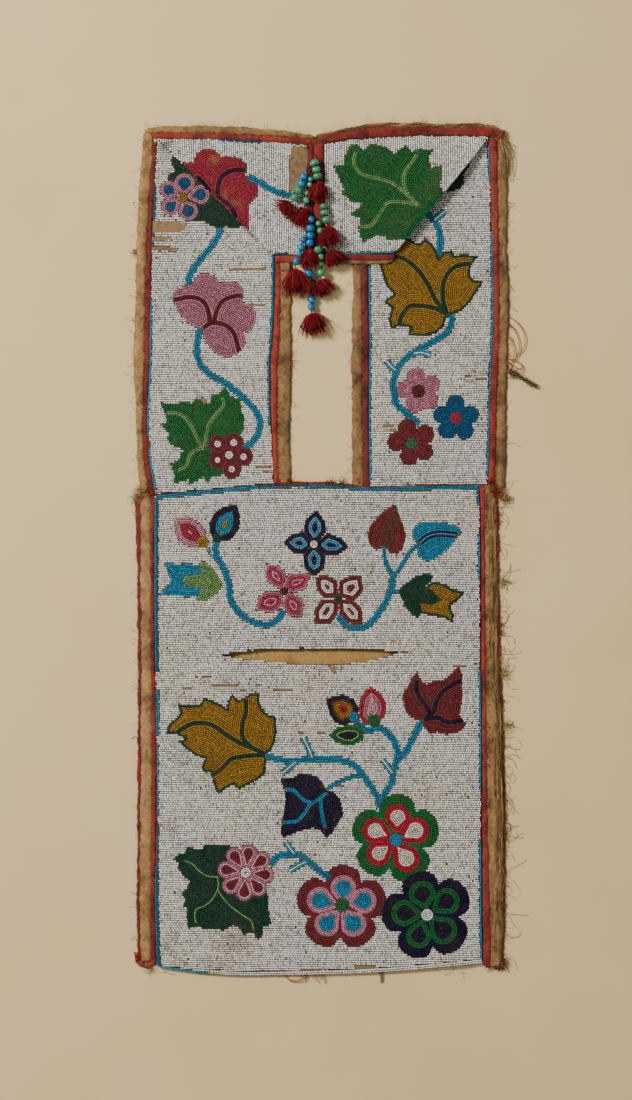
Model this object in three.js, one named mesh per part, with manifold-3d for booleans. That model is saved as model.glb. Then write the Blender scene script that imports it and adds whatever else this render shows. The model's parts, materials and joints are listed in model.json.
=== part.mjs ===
// Beaded bandolier bag, lying face up.
// A flat pouch with a slit mouth in its beaded front, and a wide beaded strap in two halves.
// Each half runs up one side, is folded square at the shoulder (a mitre, three layers thick) and
// runs in to the middle, where the two ends meet and a bunch of glass beads and wool tassels hangs.
// Millimetres, +Z up, +Y towards the shoulder, origin under the middle of the cloth, on the surface it lies on.
import * as THREE from "three";
import { mergeVertices } from "three/addons/utils/BufferGeometryUtils.js";
import Module from "manifold-3d";

// ---------------------------------------------------------------- driving dimensions
// Outlines are drawn on a flat plan: across to the right, down the bag, one unit to the millimetre.
const PLAN_X0 = 321.5; // plan position of the bag's middle
const PLAN_Y0 = 549.4;
const PLAN_SCALE = 1.0; // millimetres to one plan unit

const GAP = 0.35; // between pieces that meet
const BACK_T = 1.5; // pouch back cloth
const LINING_Z = [1.85, 2.65]; // pocket lining, on the back cloth
const FRONT_Z = [1.85, 9.4]; // pouch front, from its seam to the tops of its beads
const FRONT_T = 2.0; // beaded cloth of the pouch front
const SEAM_W = 7.0; // sewn edge of the pouch, in which front and back are one
const EDGE_FALL = 22; // width over which the pouch front falls to its sewn edges
const EDGE_Z = 4.6; // top of the pouch front at its sewn edges
const TOP_FALL = 150; // the same, towards the strap
const POCKET_TOP = 641; // plan line above which front and back are sewn together
const LIMB_T = 3.2; // strap where it is one layer
const TURN_T = 6.6; // strap where the mitre makes it three layers
const FOLD_W = 28; // how far in from the right half's fold the cloth is lifted off the strap below
const FOLD_Z = [[0, 6.8], [0.06, 8.6], [0.14, 11.6], [0.28, 15.6], [0.42, 16.2], [0.6, 14.4], [0.8, 12.8], [0.92, 11.2], [1, 9]]; // part of the way down the fold, height
const TAPE_T = 3.0; // edge binding beside one layer of strap
const TAPE_TURN_T = 6.4; // edge binding beside the mitred strap
const SIDE_TAPE_T = 4.0; // binding down each side of the pouch
const THREAD_R = 0.6; // threads of the bead strings
const BEAD_HOLE_R = 1.15;
const MAIN_CORD_R = 0.6; // cord in the seam of the strap ends, which the strings are tied to
const STUB_R = 2.0; // twisted tie cord, broken off short

// ---------------------------------------------------------------- plan outlines
// Left half of the strap.
const leftOuter = [[157.4, 139], [155.6, 160], [154.2, 184], [151.7, 248], [150.4, 309], [149.4, 370], [147.2, 424], [150, 464], [154.6, 492.6]];
const leftInner = [[275.2, 262], [274.6, 300], [272.4, 344], [270.4, 364], [271, 410], [272.5, 450], [273.5, 483.4]];
const leftTurn = [[157.4, 139], [219, 138.5], [283, 142.5], [303, 144], [303, 254.5], [275, 254.5]];
const leftOuterEdge = [[309, 134.6], [283, 131.2], [245, 127.6], [206.5, 126], [162, 127], [148, 129], [144.6, 134], [141.5, 158], [140, 181], [138.2, 217], [137, 250], [136.4, 280], [135.4, 317], [134, 354], [136, 410], [138, 464], [140.5, 492.5]];
const leftInnerEdge = [[290.6, 271], [290.7, 286], [290.8, 370], [289.4, 424], [290, 482]];

// Right half of the strap.
const rightOuter = [[488.4, 137], [490.2, 165], [491, 194], [492.4, 250], [493.6, 320], [490.4, 394], [488.8, 461], [488, 484.2]];
const rightInner = [[368.5, 264], [368.8, 300], [369.4, 340], [368.9, 420], [369.6, 486.6]];
const rightTurn = [[488.4, 137], [422, 135.3], [352, 139], [324, 144], [323, 253], [394.5, 252.5]];
const rightOuterEdge = [[316, 135.6], [338, 129.6], [366, 125], [387, 122.8], [400, 125], [417, 122.8], [436, 125], [457, 124], [478.5, 123.4], [495, 126], [505, 131], [507.6, 160], [507.8, 194], [506.5, 250], [509, 292], [507.6, 340], [506.2, 395], [506, 434], [505, 484]];
const rightInnerEdge = [[353.6, 271], [353.4, 307], [352, 354], [352.8, 407], [352.8, 484.5]];

// Pouch front, clockwise from its top left corner.
const pouchTop = [[154.2, 495.4], [200, 491], [240, 487], [277, 483.8], [330, 483.6], [360, 486.8], [372, 487.6], [420, 486.4], [478.6, 485]];
const pouchRight = [[480.2, 512], [480.4, 640], [481.4, 732], [481.4, 832], [481.6, 916], [483, 963.5]];
const pouchBottom = [[440, 967.5], [380, 972.6], [310, 975.2], [240, 976], [200, 973.6], [157.6, 967]];
const pouchLeft = [[156.6, 940], [155.4, 900], [156, 850], [157, 800], [156.4, 732], [154.6, 640], [154.2, 560]];
const leftSideEdge = [[135.6, 494.5], [135.4, 517], [137.4, 564], [138, 644], [138, 740], [137.4, 830], [137.2, 900], [137.4, 964], [154, 966]];
const rightSideEdge = [[494, 485.2], [498.6, 510], [498.8, 570], [499.4, 640], [503, 700], [505.4, 760], [506, 840], [505.4, 920], [503.6, 968.6], [486, 967]];

// The slit that is the pocket's mouth.
const slit = [[222, 655.6], [233, 652.4], [262, 649], [300, 648], [350, 648.4], [385, 650], [400, 651.4], [391, 655.4], [372, 660.6], [345, 664], [300, 664.4], [270, 662], [240, 658.8]];

// Strings of glass beads: start, beads [across, down, height, radius, colour], tassel [neck, end, radius].
const strings = [
  { name: "a", start: [313.6, 153, 8.2], beads: [[314.3, 163.5, 12.4, 4.7, "green"], [316.2, 170.2, 12.4, 4.4, "green"], [317.5, 176.9, 12.4, 4.5, "green"]], tassel: [[318.4, 183, 12.6], [319.8, 200.4, 13.2], 5.6] },
  { name: "b", start: [311.6, 166, 8.0], beads: [[303.9, 177.0, 10.9, 3.9, "blue"], [301.6, 184.2, 11.4, 4.5, "blue"], [298.2, 191.1, 11.2, 4.3, "green"], [295.0, 198.0, 11.2, 4.3, "green"]], tassel: [[290.6, 203.6, 11.4], [280.4, 213.8, 12.4], 5.6] },
  { name: "c", start: [312.6, 171.4, 7.6], beads: [[310.6, 179.8, 9.8, 3.0, "teal"], [309.8, 185.2, 9.9, 3.0, "green"], [307.0, 193.8, 9.6, 2.6, "green"], [306.4, 201.0, 10.5, 3.6, "green"]], tassel: [[304.4, 208.4, 10.6], [298.4, 226.4, 12.6], 5.8] },
  { name: "d", start: [317.4, 203.2, 7.6], beads: [[323.6, 206.9, 11.0, 3.9, "green"], [324.4, 213.1, 11.2, 4.2, "green"], [325.7, 220.2, 11.4, 4.3, "green"]], tassel: [[327.4, 226.4, 12.0], [330.4, 246.2, 15.0], 5.6] },
  { name: "e", start: [315.4, 217.4, 7.6], beads: [[318.4, 224.0, 10.0, 3.0, "green"], [320.2, 231.0, 10.2, 3.3, "green"]], bend: [[324.6, 242.4, 7.9]], tassel: [[329.6, 251.4, 9.6], [336.4, 264.8, 12.4], 5.8] },
  { name: "f", start: [311.6, 212.4, 7.6], beads: [[310.6, 220.3, 11.0, 4.1, "blue"], [310.4, 228.7, 11.6, 4.6, "blue"], [310.4, 236.1, 11.6, 4.5, "blue"], [310.1, 243.3, 11.2, 4.2, "blue"]], tassel: [[309.8, 249.4, 11.4], [310.4, 267.6, 13.4], 5.6] },
  { name: "g", start: [308.6, 233.0, 7.5], beads: [[303.1, 240.3, 10.2, 3.2, "blue"], [301.2, 247.8, 10.9, 3.9, "blue"], [299.4, 254.4, 10.4, 3.3, "blue"], [296.6, 261.8, 10.6, 3.9, "blue"]], tassel: [[295.8, 269.0, 9.6], [297.6, 295.0, 8.6], 7.8] },
  { name: "h", start: [315.4, 243.0, 7.6], beads: [[318.6, 250.0, 11.6, 4.6, "green"], [320.9, 257.2, 11.0, 3.4, "green"], [322.0, 264.7, 10.2, 2.8, "green"], [320.8, 272.9, 9.6, 4.0, "green"]], tassel: [[321.4, 279.4, 8.4], [326.8, 295.8, 7.0], 6.4] },
  { name: "i", start: [309.6, 264.6, 7.0], beads: [[309.0, 273.4, 6.6, 4.4, "blue"], [313.2, 283.3, 5.4, 3.8, "navy"], [313.2, 292.1, 4.8, 4.1, "navy"], [311.8, 299.8, 4.7, 4.3, "blue"], [311.4, 306.9, 4.6, 4.1, "blue"]], tassel: [[311.9, 313.4, 4.9], [317.4, 335.2, 8.4], 8.0] },
];
const mainCord = [[313, 147, 5.0], [313, 190, 5.0], [313, 230, 5.0], [313, 251, 5.0]];
const cordStub = [[507.9, 371.4, 2.3], [515, 374.2, 2.4], [524, 379.4, 2.4], [532, 384.2, 2.4], [536.6, 386.2, 2.4]];

// ---------------------------------------------------------------- materials
const stuff = (color, roughness, metalness = 0) => new THREE.MeshStandardMaterial({ color, roughness, metalness });
const beadwork = stuff(0xc9c4bb, 0.4);
const cotton = stuff(0xb39157, 0.9);
const redCloth = stuff(0x93291e, 0.95);
const wool = stuff(0x5a0d16, 0.95);
const twine = stuff(0x4a3a28, 0.9);
const glass = {
  green: stuff(0x3f9a68, 0.2),
  teal: stuff(0x4fa0a0, 0.2),
  blue: stuff(0x1f86c0, 0.2),
  navy: stuff(0x0c2a3e, 0.2),
};

// ---------------------------------------------------------------- building blocks
const wasm = await Module();
wasm.setup();
const group = new THREE.Group();

const X = (px) => (px - PLAN_X0) * PLAN_SCALE;
const Y = (py) => (PLAN_Y0 - py) * PLAN_SCALE;
const at = ([px, py, z]) => new THREE.Vector3(X(px), Y(py), z);

function solid(geometry) {
  const g = geometry.index ? geometry.toNonIndexed() : geometry.clone();
  for (const name of Object.keys(g.attributes)) if (name !== "position") g.deleteAttribute(name);
  const merged = mergeVertices(g, 1e-4);
  return new wasm.Manifold(
    new wasm.Mesh({ numProp: 3, vertProperties: merged.attributes.position.array, triVerts: new Uint32Array(merged.index.array) }),
  );
}

function geometryOf(manifold) {
  const mesh = manifold.getMesh();
  const g = new THREE.BufferGeometry();
  const pos = new Float32Array(mesh.numVert * 3);
  for (let i = 0; i < mesh.numVert; i++)
    for (let k = 0; k < 3; k++) pos[3 * i + k] = mesh.vertProperties[i * mesh.numProp + k];
  g.setAttribute("position", new THREE.BufferAttribute(pos, 3));
  g.setIndex(new THREE.BufferAttribute(new Uint32Array(mesh.triVerts), 1));
  g.computeVertexNormals();
  return g;
}

// A plate with a plan outline, from z0 to z1.
function plate(outline, z0, z1) {
  const pts = outline.map(([px, py]) => new THREE.Vector2(X(px), Y(py)));
  if (THREE.ShapeUtils.area(pts) < 0) pts.reverse();
  const g = new THREE.ExtrudeGeometry(new THREE.Shape(pts), { depth: z1 - z0, bevelEnabled: false, curveSegments: 1 });
  g.translate(0, 0, z0);
  return g;
}

const shifted = (line, dx, dy) => line.map(([px, py]) => [px + dx, py + dy]);

// An outline moved inwards, corner by corner.
function inset(outline, d) {
  const n = outline.length;
  const pts = outline.map(([px, py]) => new THREE.Vector2(px, py));
  const turn = Math.sign(THREE.ShapeUtils.area(pts));
  return pts.map((p, i) => {
    const a = p.clone().sub(pts[(i + n - 1) % n]).normalize();
    const b = pts[(i + 1) % n].clone().sub(p).normalize();
    const na = new THREE.Vector2(-a.y, a.x).multiplyScalar(turn);
    const nb = new THREE.Vector2(-b.y, b.x).multiplyScalar(turn);
    const m = na.clone().add(nb).normalize();
    const k = d / Math.max(0.35, m.dot(na));
    return [p.x + m.x * k, p.y + m.y * k];
  });
}

function add(name, geometry, material) {
  const mesh = new THREE.Mesh(geometry, material);
  mesh.name = name;
  group.add(mesh);
  return mesh;
}

// A round cord along points, with closed ends.
function cord(points, r, step, sides = 8) {
  const curve = new THREE.CatmullRomCurve3(points, false, "centripetal");
  const ring = new THREE.Shape();
  for (let i = 0; i < sides; i++) {
    const t = (2 * Math.PI * i) / sides;
    if (i === 0) ring.moveTo(r * Math.cos(t), r * Math.sin(t));
    else ring.lineTo(r * Math.cos(t), r * Math.sin(t));
  }
  ring.closePath();
  const steps = Math.max(4, Math.round(curve.getLength() / step));
  return { curve, geometry: new THREE.ExtrudeGeometry(ring, { steps, extrudePath: curve, bevelEnabled: false, curveSegments: 1 }) };
}

const turnTo = (dir) => new THREE.Quaternion().setFromUnitVectors(new THREE.Vector3(0, 1, 0), dir.clone().normalize());

// ---------------------------------------------------------------- pouch
const pouch = [...pouchTop, ...pouchRight, ...pouchBottom, ...pouchLeft];
add("pouch_back", plate(pouch, 0, BACK_T), cotton);

const pocketRight = shifted(pouchRight, -SEAM_W, 0).filter(([, py]) => py > POCKET_TOP && py < 960);
const pocketBottom = shifted(pouchBottom, 0, -SEAM_W);
const pocketLeft = shifted(pouchLeft, SEAM_W, 0).filter(([, py]) => py > POCKET_TOP);
const pocketPoints = [[pouchLeft[5][0] + SEAM_W, POCKET_TOP], [pouchRight[1][0] - SEAM_W, POCKET_TOP], ...pocketRight, [478, 958.6], ...pocketBottom.slice(0, -1), [162.6, 962.8], ...pocketLeft];
// What is cut away above a front that falls towards the edge from p to q (inside on the left hand).
function above(p, q, width, drop) {
  const from = at([...p, 0]), to = at([...q, 0]);
  const along = to.clone().sub(from).normalize();
  const up = new THREE.Vector3(0, 0, 1);
  const inward = up.clone().cross(along);
  const profile = new THREE.Shape([[-40, EDGE_Z], [0, EDGE_Z], [width, FRONT_Z[1]], [width, 40], [-40, 40]].map(([u, z]) => new THREE.Vector2(u, z)));
  const g = new THREE.ExtrudeGeometry(profile, { depth: from.distanceTo(to) + 100, bevelEnabled: false });
  g.translate(0, -drop, -50);
  g.applyMatrix4(new THREE.Matrix4().makeBasis(inward, up, inward.clone().cross(up)));
  const middle = inward.clone().cross(up).dot(along) < 0 ? to : from;
  g.translate(...middle.toArray());
  return solid(g);
}
const edges = [
  [[155.4, 496], [157, 966], EDGE_FALL],
  [[157, 972], [483, 970], EDGE_FALL],
  [[482.4, 966], [479.6, 486], EDGE_FALL],
  [[480, 485], [155, 493], TOP_FALL],
];
const shaped = (body, drop) => edges.reduce((m, [p, q, w]) => m.subtract(above(p, q, w, drop)), body);
const pocketRoom = shaped(solid(plate(pocketPoints, FRONT_Z[0] - 1, FRONT_Z[1] - FRONT_T)), FRONT_T);
const mouth = solid(plate(slit, FRONT_Z[0], FRONT_Z[1] + 1));
add("pouch_front", geometryOf(shaped(solid(plate(pouch, FRONT_Z[0], FRONT_Z[1])), 0).subtract(pocketRoom).subtract(mouth)), beadwork);
add("pocket_lining", plate(inset(pocketPoints, 0.8), LINING_Z[0], LINING_Z[1]), cotton);

add("pouch_left_binding", plate([...leftSideEdge, ...shifted([...pouchLeft.slice(0, 2), ...pouchLeft.slice(2), [154.2, 496]], -GAP - 0.15, 0)], 0, SIDE_TAPE_T), redCloth);
add("pouch_right_binding", plate([...rightSideEdge, ...shifted([...pouchRight].reverse(), GAP + 0.15, 0), [480.8, 486.4]], 0, SIDE_TAPE_T), redCloth);

// ---------------------------------------------------------------- strap
const leftLimb = [...leftOuter.slice(0, -1), [154.4, 494.6 - 0.6], [200, 490.2], [240, 486.2], [273.4, 483.2], ...[...leftInner].reverse().slice(1), [275.2, 250]];
add("strap_left", geometryOf(solid(plate(leftLimb, 0, LIMB_T)).add(solid(plate(leftTurn, 0, TURN_T)))), beadwork);
const rightLimb = [[395, 250], [368.5, 250], ...rightInner.slice(0, -1), [369.6, 486.4], [420, 485.5], [487.8, 484.1], ...[...rightOuter].reverse().slice(1)];
// The right half's fold was never pressed flat: its edge stands up, highest near the middle, and the cloth comes down behind it.
function liftedFold(from, to) {
  const length = Math.hypot(to[0] - from[0], to[1] - from[1]);
  const inward = [(to[1] - from[1]) / length, (from[0] - to[0]) / length].map((v) => -v);
  const section = (z) => [[0, 1], [0, z], ...[0.25, 0.5, 0.75].map((u) => [u * FOLD_W, TURN_T + (z - TURN_T) * Math.cos((u * Math.PI) / 2) ** 2]), [FOLD_W, TURN_T], [FOLD_W, 1]];
  const rings = FOLD_Z.map(([t, z]) => section(z).map(([u, h]) => at([from[0] + t * (to[0] - from[0]) + u * inward[0], from[1] + t * (to[1] - from[1]) + u * inward[1], h])));
  const n = rings[0].length;
  const tris = [];
  for (let i = 0; i + 1 < rings.length; i++)
    for (let j = 0; j < n; j++) {
      const k = (j + 1) % n;
      tris.push([rings[i][j], rings[i][k], rings[i + 1][k]], [rings[i][j], rings[i + 1][k], rings[i + 1][j]]);
    }
  for (let j = 1; j + 1 < n; j++) {
    const [a, b] = [rings[0], rings[rings.length - 1]];
    tris.push([a[0], a[j + 1], a[j]], [b[0], b[j], b[j + 1]]);
  }
  const volume = tris.reduce((sum, [a, b, c]) => sum + a.dot(b.clone().cross(c)), 0);
  const g = new THREE.BufferGeometry().setFromPoints(tris.flatMap((t) => (volume < 0 ? [...t].reverse() : t)));
  return solid(g);
}
const rightFold = liftedFold(rightTurn[0], rightTurn[5]).intersect(solid(plate(rightTurn, 0, 40)));
add("strap_right", geometryOf(solid(plate(rightLimb, 0, LIMB_T)).add(solid(plate(rightTurn, 0, TURN_T))).add(rightFold)), beadwork);

// ---------------------------------------------------------------- bindings of the strap
const leftStrip = [...leftOuterEdge.slice(4), [153.9, 493.4], ...shifted([...leftOuter].reverse().slice(1), -GAP, 0), [158, 138.2], [206.5, 138.1]];
const leftTopStrip = [...leftOuterEdge.slice(0, 6), [150, 138], [157, 138.5], [219, 138.05], [283, 142], [303, 143.55], [309, 143.6]];
add("strap_left_outer_binding", geometryOf(solid(plate(leftStrip, 0, TAPE_T)).add(solid(plate(leftTopStrip, 0, TAPE_TURN_T)))), redCloth);
const rightStrip = [...rightOuterEdge.slice(8), [488.6, 484], ...shifted([...rightOuter].reverse().slice(1), GAP, 0), [488.4, 136.4], [452, 135.6]];
const rightTopStrip = [...rightOuterEdge.slice(0, 11), [497, 140], [489, 136.6], [422, 134.9], [352, 138.6], [324, 143.55], [316, 143.6]];
add("strap_right_outer_binding", geometryOf(solid(plate(rightStrip, 0, TAPE_T)).add(solid(plate(rightTopStrip, 0, TAPE_TURN_T)))), redCloth);

const leftInnerStrip = [...shifted(leftInner, GAP + 0.1, 0).slice(0, -1), [274, 482.8], ...[...leftInnerEdge].reverse()];
const leftTurnHem = [[275.8, 254.9], [303, 254.9], [303, 262], [290.6, 263], [290.6, 272], [275.7, 272]];
add("strap_left_inner_binding", geometryOf(solid(plate(leftInnerStrip, 0, TAPE_T)).add(solid(plate(leftTurnHem, 0, TAPE_TURN_T)))), redCloth);
const rightInnerStrip = [...shifted(rightInner, -GAP - 0.1, 0).slice(0, -1), [369.1, 486], [360, 486.2], [352.8, 485.2], ...[...rightInnerEdge].reverse().slice(1)];
const rightTurnHem = [[394.2, 252.95], [323, 253.4], [323, 262.4], [353.6, 263.6], [353.6, 272], [368, 272], [368, 263.8], [394.2, 263.8]];
const rightLimbAbove = solid(plate([[367.9, 240], [368.2, 275], [420, 275], [420, 240]], -1, LIMB_T + GAP));
add("strap_right_inner_binding", geometryOf(solid(plate(rightInnerStrip, 0, TAPE_T)).add(solid(plate(rightTurnHem, 0, TAPE_TURN_T)).subtract(rightLimbAbove))), redCloth);

add("strap_left_end_binding", plate([[303.35, 144.2], [309.2, 144.2], [312, 146], [312, 258], [303.35, 262]], 0, TURN_T), redCloth);
add("strap_right_end_binding", plate([[314, 146], [316.2, 144.2], [323.4, 144.4], [322.6, 253], [322.6, 261], [314, 258]], 0, TURN_T), redCloth);

// ---------------------------------------------------------------- bead strings and tassels
const cordTube = cord(mainCord.map(at), MAIN_CORD_R, 6);
add("bead_string_main_cord", cordTube.geometry, twine);

for (const s of strings) {
  const [neck, end, tasselR] = s.tassel;
  const on = s.beads.map(at);
  const last = on.length - 1;
  const beyond = (k, towards, r) => on[k].clone().add(on[k].clone().sub(on[towards]).normalize().multiplyScalar(r));
  const points = [at(s.start), beyond(0, 1, s.beads[0][3] + 0.5), ...on, beyond(last, last - 1, 0.8 * s.beads[last][3]), ...(s.bend || []).map(at), at(neck)];
  const tail = at(neck).lerp(at(end), 0.25);
  const thread = cord([...points, tail], THREAD_R, 2.6);

  // Wool tassel: tied head, then a skirt that spreads to its cut end.
  const axis = at(end).sub(at(neck));
  const long = axis.length();
  const skirt = new THREE.LatheGeometry(
    [[0, 0], [1.3, 0], [2.1, 0.08], [1.9, 0.2], [0.55 * tasselR, 0.42], [0.86 * tasselR, 0.72], [tasselR, 0.94], [0.8 * tasselR, 1], [0, 1]].map(([r, t]) => new THREE.Vector2(r, t * long)),
    10,
  );
  skirt.applyQuaternion(turnTo(axis));
  skirt.translate(...at(neck).toArray());
  add(`string_${s.name}_tassel`, geometryOf(solid(skirt).add(solid(thread.geometry))), wool);

  // Glass beads, threaded on it.
  s.beads.forEach((b, i) => {
    const here = at(b);
    let nearest = Infinity;
    for (const o of [s.beads[i - 1], s.beads[i + 1]]) if (o) nearest = Math.min(nearest, here.distanceTo(at(o)));
    const r = b[3];
    const half = Math.min(0.92 * r, (nearest - GAP) / 2);
    let best = 0, far = Infinity;
    for (let k = 0; k <= 400; k++) {
      const d = thread.curve.getPointAt(k / 400).distanceTo(here);
      if (d < far) [best, far] = [k / 400, d];
    }
    const dir = thread.curve.getTangentAt(best);
    const bead = new THREE.LatheGeometry(
      [[BEAD_HOLE_R, -0.86], [0.62 * r, -1], [0.9 * r, -0.62], [r, 0], [0.9 * r, 0.62], [0.62 * r, 1], [BEAD_HOLE_R, 0.86], [BEAD_HOLE_R, -0.86]].map(([q, t]) => new THREE.Vector2(q, t * half)),
      10,
    );
    bead.applyQuaternion(turnTo(dir));
    bead.translate(...here.toArray());
    add(`string_${s.name}_bead_${i + 1}`, bead, glass[b[4]]);
  });
}

// ---------------------------------------------------------------- tie cord, broken off beside the right strap
add("tie_cord_stub", cord(cordStub.map(at), STUB_R, 4).geometry, twine);

export default group;
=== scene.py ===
import json
import math

import bpy
import numpy as np
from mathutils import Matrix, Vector
from mathutils.geometry import delaunay_2d_cdt

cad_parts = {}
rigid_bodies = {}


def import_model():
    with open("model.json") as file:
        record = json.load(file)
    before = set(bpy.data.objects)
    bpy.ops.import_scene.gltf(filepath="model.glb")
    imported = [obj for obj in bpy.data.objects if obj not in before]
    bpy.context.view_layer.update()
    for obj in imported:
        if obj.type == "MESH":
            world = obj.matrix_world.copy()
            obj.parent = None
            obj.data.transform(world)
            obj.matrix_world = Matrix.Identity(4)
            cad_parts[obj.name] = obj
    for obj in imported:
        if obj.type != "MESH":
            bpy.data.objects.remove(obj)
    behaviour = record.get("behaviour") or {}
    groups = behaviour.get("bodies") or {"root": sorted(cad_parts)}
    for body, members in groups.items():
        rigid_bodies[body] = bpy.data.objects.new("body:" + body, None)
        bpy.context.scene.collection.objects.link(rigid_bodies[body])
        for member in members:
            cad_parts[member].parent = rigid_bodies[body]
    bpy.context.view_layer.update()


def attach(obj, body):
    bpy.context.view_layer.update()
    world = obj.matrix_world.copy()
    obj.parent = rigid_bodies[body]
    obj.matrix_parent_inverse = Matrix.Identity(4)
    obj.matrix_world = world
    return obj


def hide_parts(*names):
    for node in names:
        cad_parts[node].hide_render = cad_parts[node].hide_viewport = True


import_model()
rng = np.random.default_rng(20)

X0, Y0 = 321.5, 549.4
MM = 0.001


def xy(p):
    """Plan points to metres."""
    p = np.asarray(p, float)
    return np.stack([(p[..., 0] - X0) * MM, (Y0 - p[..., 1]) * MM], -1)


def srgb(r, g, b):
    c = np.array([r, g, b], float) / 255.0
    return np.where(c <= 0.04045, c / 12.92, ((c + 0.055) / 1.055) ** 2.4)


# ------------------------------------------------------------------ camera, light, floor
scene = bpy.context.scene
FIELD = 1.100  # metres of the floor that the picture is high
DIST = 4.2
cam = bpy.data.objects.new("camera", bpy.data.cameras.new("camera"))
cam.data.sensor_fit = "VERTICAL"
cam.data.sensor_height = 24.0
cam.data.lens = 24.0 * DIST / FIELD
cam.data.clip_end = 50
cam.location = ((316 - X0) * MM, (Y0 - 550) * MM, DIST + 0.004)
scene.collection.objects.link(cam)
scene.camera = cam

world = bpy.data.worlds.new("studio")
world.use_nodes = True
world.node_tree.nodes["Background"].inputs["Color"].default_value = (1.0, 0.975, 0.945, 1)
world.node_tree.nodes["Background"].inputs["Strength"].default_value = 0.4
scene.world = world


def area_light(name, loc, target, size, energy, color):
    light = bpy.data.lights.new(name, "AREA")
    light.shape = "RECTANGLE"
    light.size, light.size_y = size
    light.energy = energy
    light.color = color
    o = bpy.data.objects.new(name, light)
    o.location = loc
    o.rotation_euler = (Vector(target) - Vector(loc)).to_track_quat("-Z", "Y").to_euler()
    scene.collection.objects.link(o)
    return o


area_light("key", (-1.9, 1.25, 2.2), (0, 0, 0), (0.6, 0.6), 146, (1.0, 0.978, 0.942))
area_light("fill", (1.6, -1.4, 2.6), (0, 0, 0), (2.2, 2.2), 12, (0.97, 0.98, 1.0))


# ------------------------------------------------------------------ noise and plane geometry
def hash2(ix, iy, seed):
    h = (ix.astype(np.int64) * 374761393 + iy.astype(np.int64) * 668265263 + seed * 1442695041) & 0xFFFFFFFF
    h = ((h ^ (h >> 13)) * 1274126177) & 0xFFFFFFFF
    return ((h ^ (h >> 16)) & 0xFFFF) / 65535.0


def noise(x, y, seed=0):
    """Smooth value noise, -1 to 1."""
    x, y = np.asarray(x, float), np.asarray(y, float)
    ix, iy = np.floor(x), np.floor(y)
    fx, fy = x - ix, y - iy
    fx, fy = fx * fx * (3 - 2 * fx), fy * fy * (3 - 2 * fy)
    a = hash2(ix, iy, seed) * (1 - fx) + hash2(ix + 1, iy, seed) * fx
    b = hash2(ix, iy + 1, seed) * (1 - fx) + hash2(ix + 1, iy + 1, seed) * fx
    return 2 * (a * (1 - fy) + b * fy) - 1


def smooth(t):
    t = np.clip(t, 0, 1)
    return t * t * (3 - 2 * t)


def line_dist(p, line, closed=False):
    """Distance of points from a polyline."""
    q = np.asarray(line, float)
    if closed:
        q = np.vstack([q, q[:1]])
    best = np.full(p.shape[:-1], 1e9)
    for a, b in zip(q[:-1], q[1:]):
        d = b - a
        t = np.clip(((p - a) @ d) / max(d @ d, 1e-12), 0, 1)
        e = p - a - t[..., None] * d
        best = np.minimum(best, e[..., 0] ** 2 + e[..., 1] ** 2)
    return np.sqrt(best)


def inside(p, poly):
    q = np.asarray(poly, float)
    x, y = p[..., 0], p[..., 1]
    hit = np.zeros(p.shape[:-1], bool)
    for (x1, y1), (x2, y2) in zip(q, np.roll(q, -1, 0)):
        if y1 == y2:
            continue
        cross = (y1 > y) != (y2 > y)
        hit ^= cross & (x < (x2 - x1) * (y - y1) / (y2 - y1) + x1)
    return hit


def poly_sd(p, poly):
    """Signed distance, positive inside."""
    d = line_dist(p, poly, True)
    return np.where(inside(p, poly), d, -d)


def resample(line, n):
    q = np.asarray(line, float)
    s = np.concatenate([[0], np.cumsum(np.linalg.norm(np.diff(q, axis=0), axis=1))])
    t = np.linspace(0, s[-1], n)
    return np.stack([np.interp(t, s, q[:, k]) for k in range(q.shape[1])], -1)


def rounded(line, n=10):
    """A smooth curve through the points of a line (Catmull-Rom)."""
    q = np.asarray(line, float)
    if len(q) < 3:
        return resample(q, 12)
    e = np.vstack([2 * q[0] - q[1], q, 2 * q[-1] - q[-2]])
    out = []
    for i in range(1, len(e) - 2):
        t = np.linspace(0, 1, n, endpoint=False)[:, None]
        a, b, c, d = e[i - 1], e[i], e[i + 1], e[i + 2]
        out.append(0.5 * ((2 * b) + (c - a) * t + (2 * a - 5 * b + 4 * c - d) * t**2 + (3 * b - a - 3 * c + d) * t**3))
    return np.vstack(out + [q[-1:]])


# ------------------------------------------------------------------ mesh makers
def mesh_object(name, verts, faces, mat, smooth_faces=True, colors=None, uv=True):
    me = bpy.data.meshes.new(name)
    verts = np.asarray(verts, np.float32).reshape(-1, 3)
    if isinstance(faces, np.ndarray):
        me.vertices.add(len(verts))
        me.vertices.foreach_set("co", verts.ravel())
        n, k = faces.shape
        me.loops.add(n * k)
        me.loops.foreach_set("vertex_index", faces.astype(np.int32).ravel())
        me.polygons.add(n)
        me.polygons.foreach_set("loop_start", np.arange(0, n * k, k, dtype=np.int32))
        me.update(calc_edges=True)
    else:
        me.from_pydata([tuple(map(float, v)) for v in verts], [], [tuple(f) for f in faces])
        me.update()
    me.polygons.foreach_set("use_smooth", np.full(len(me.polygons), smooth_faces))
    if colors is not None:
        at = me.color_attributes.new("Col", "FLOAT_COLOR", "POINT")
        c = np.ones((len(verts), 4), np.float32)
        c[:, :3] = colors
        at.data.foreach_set("color", c.ravel())
    if uv:
        layer = me.uv_layers.new(name="OFBake")
        lo, hi = verts[:, :2].min(0), verts[:, :2].max(0)
        t = (verts[:, :2] - lo) / np.maximum(hi - lo, 1e-6)
        idx = np.zeros(len(me.loops), np.int32)
        me.loops.foreach_get("vertex_index", idx)
        layer.data.foreach_set("uv", (0.004 + 0.992 * t[idx]).astype(np.float32).ravel())
    me.materials.append(mat)
    o = bpy.data.objects.new(name, me)
    scene.collection.objects.link(o)
    return o


def finish_piece(o, slot, *nodes):
    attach(o, "root")
    if nodes:
        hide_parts(*nodes)
    return o


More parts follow.
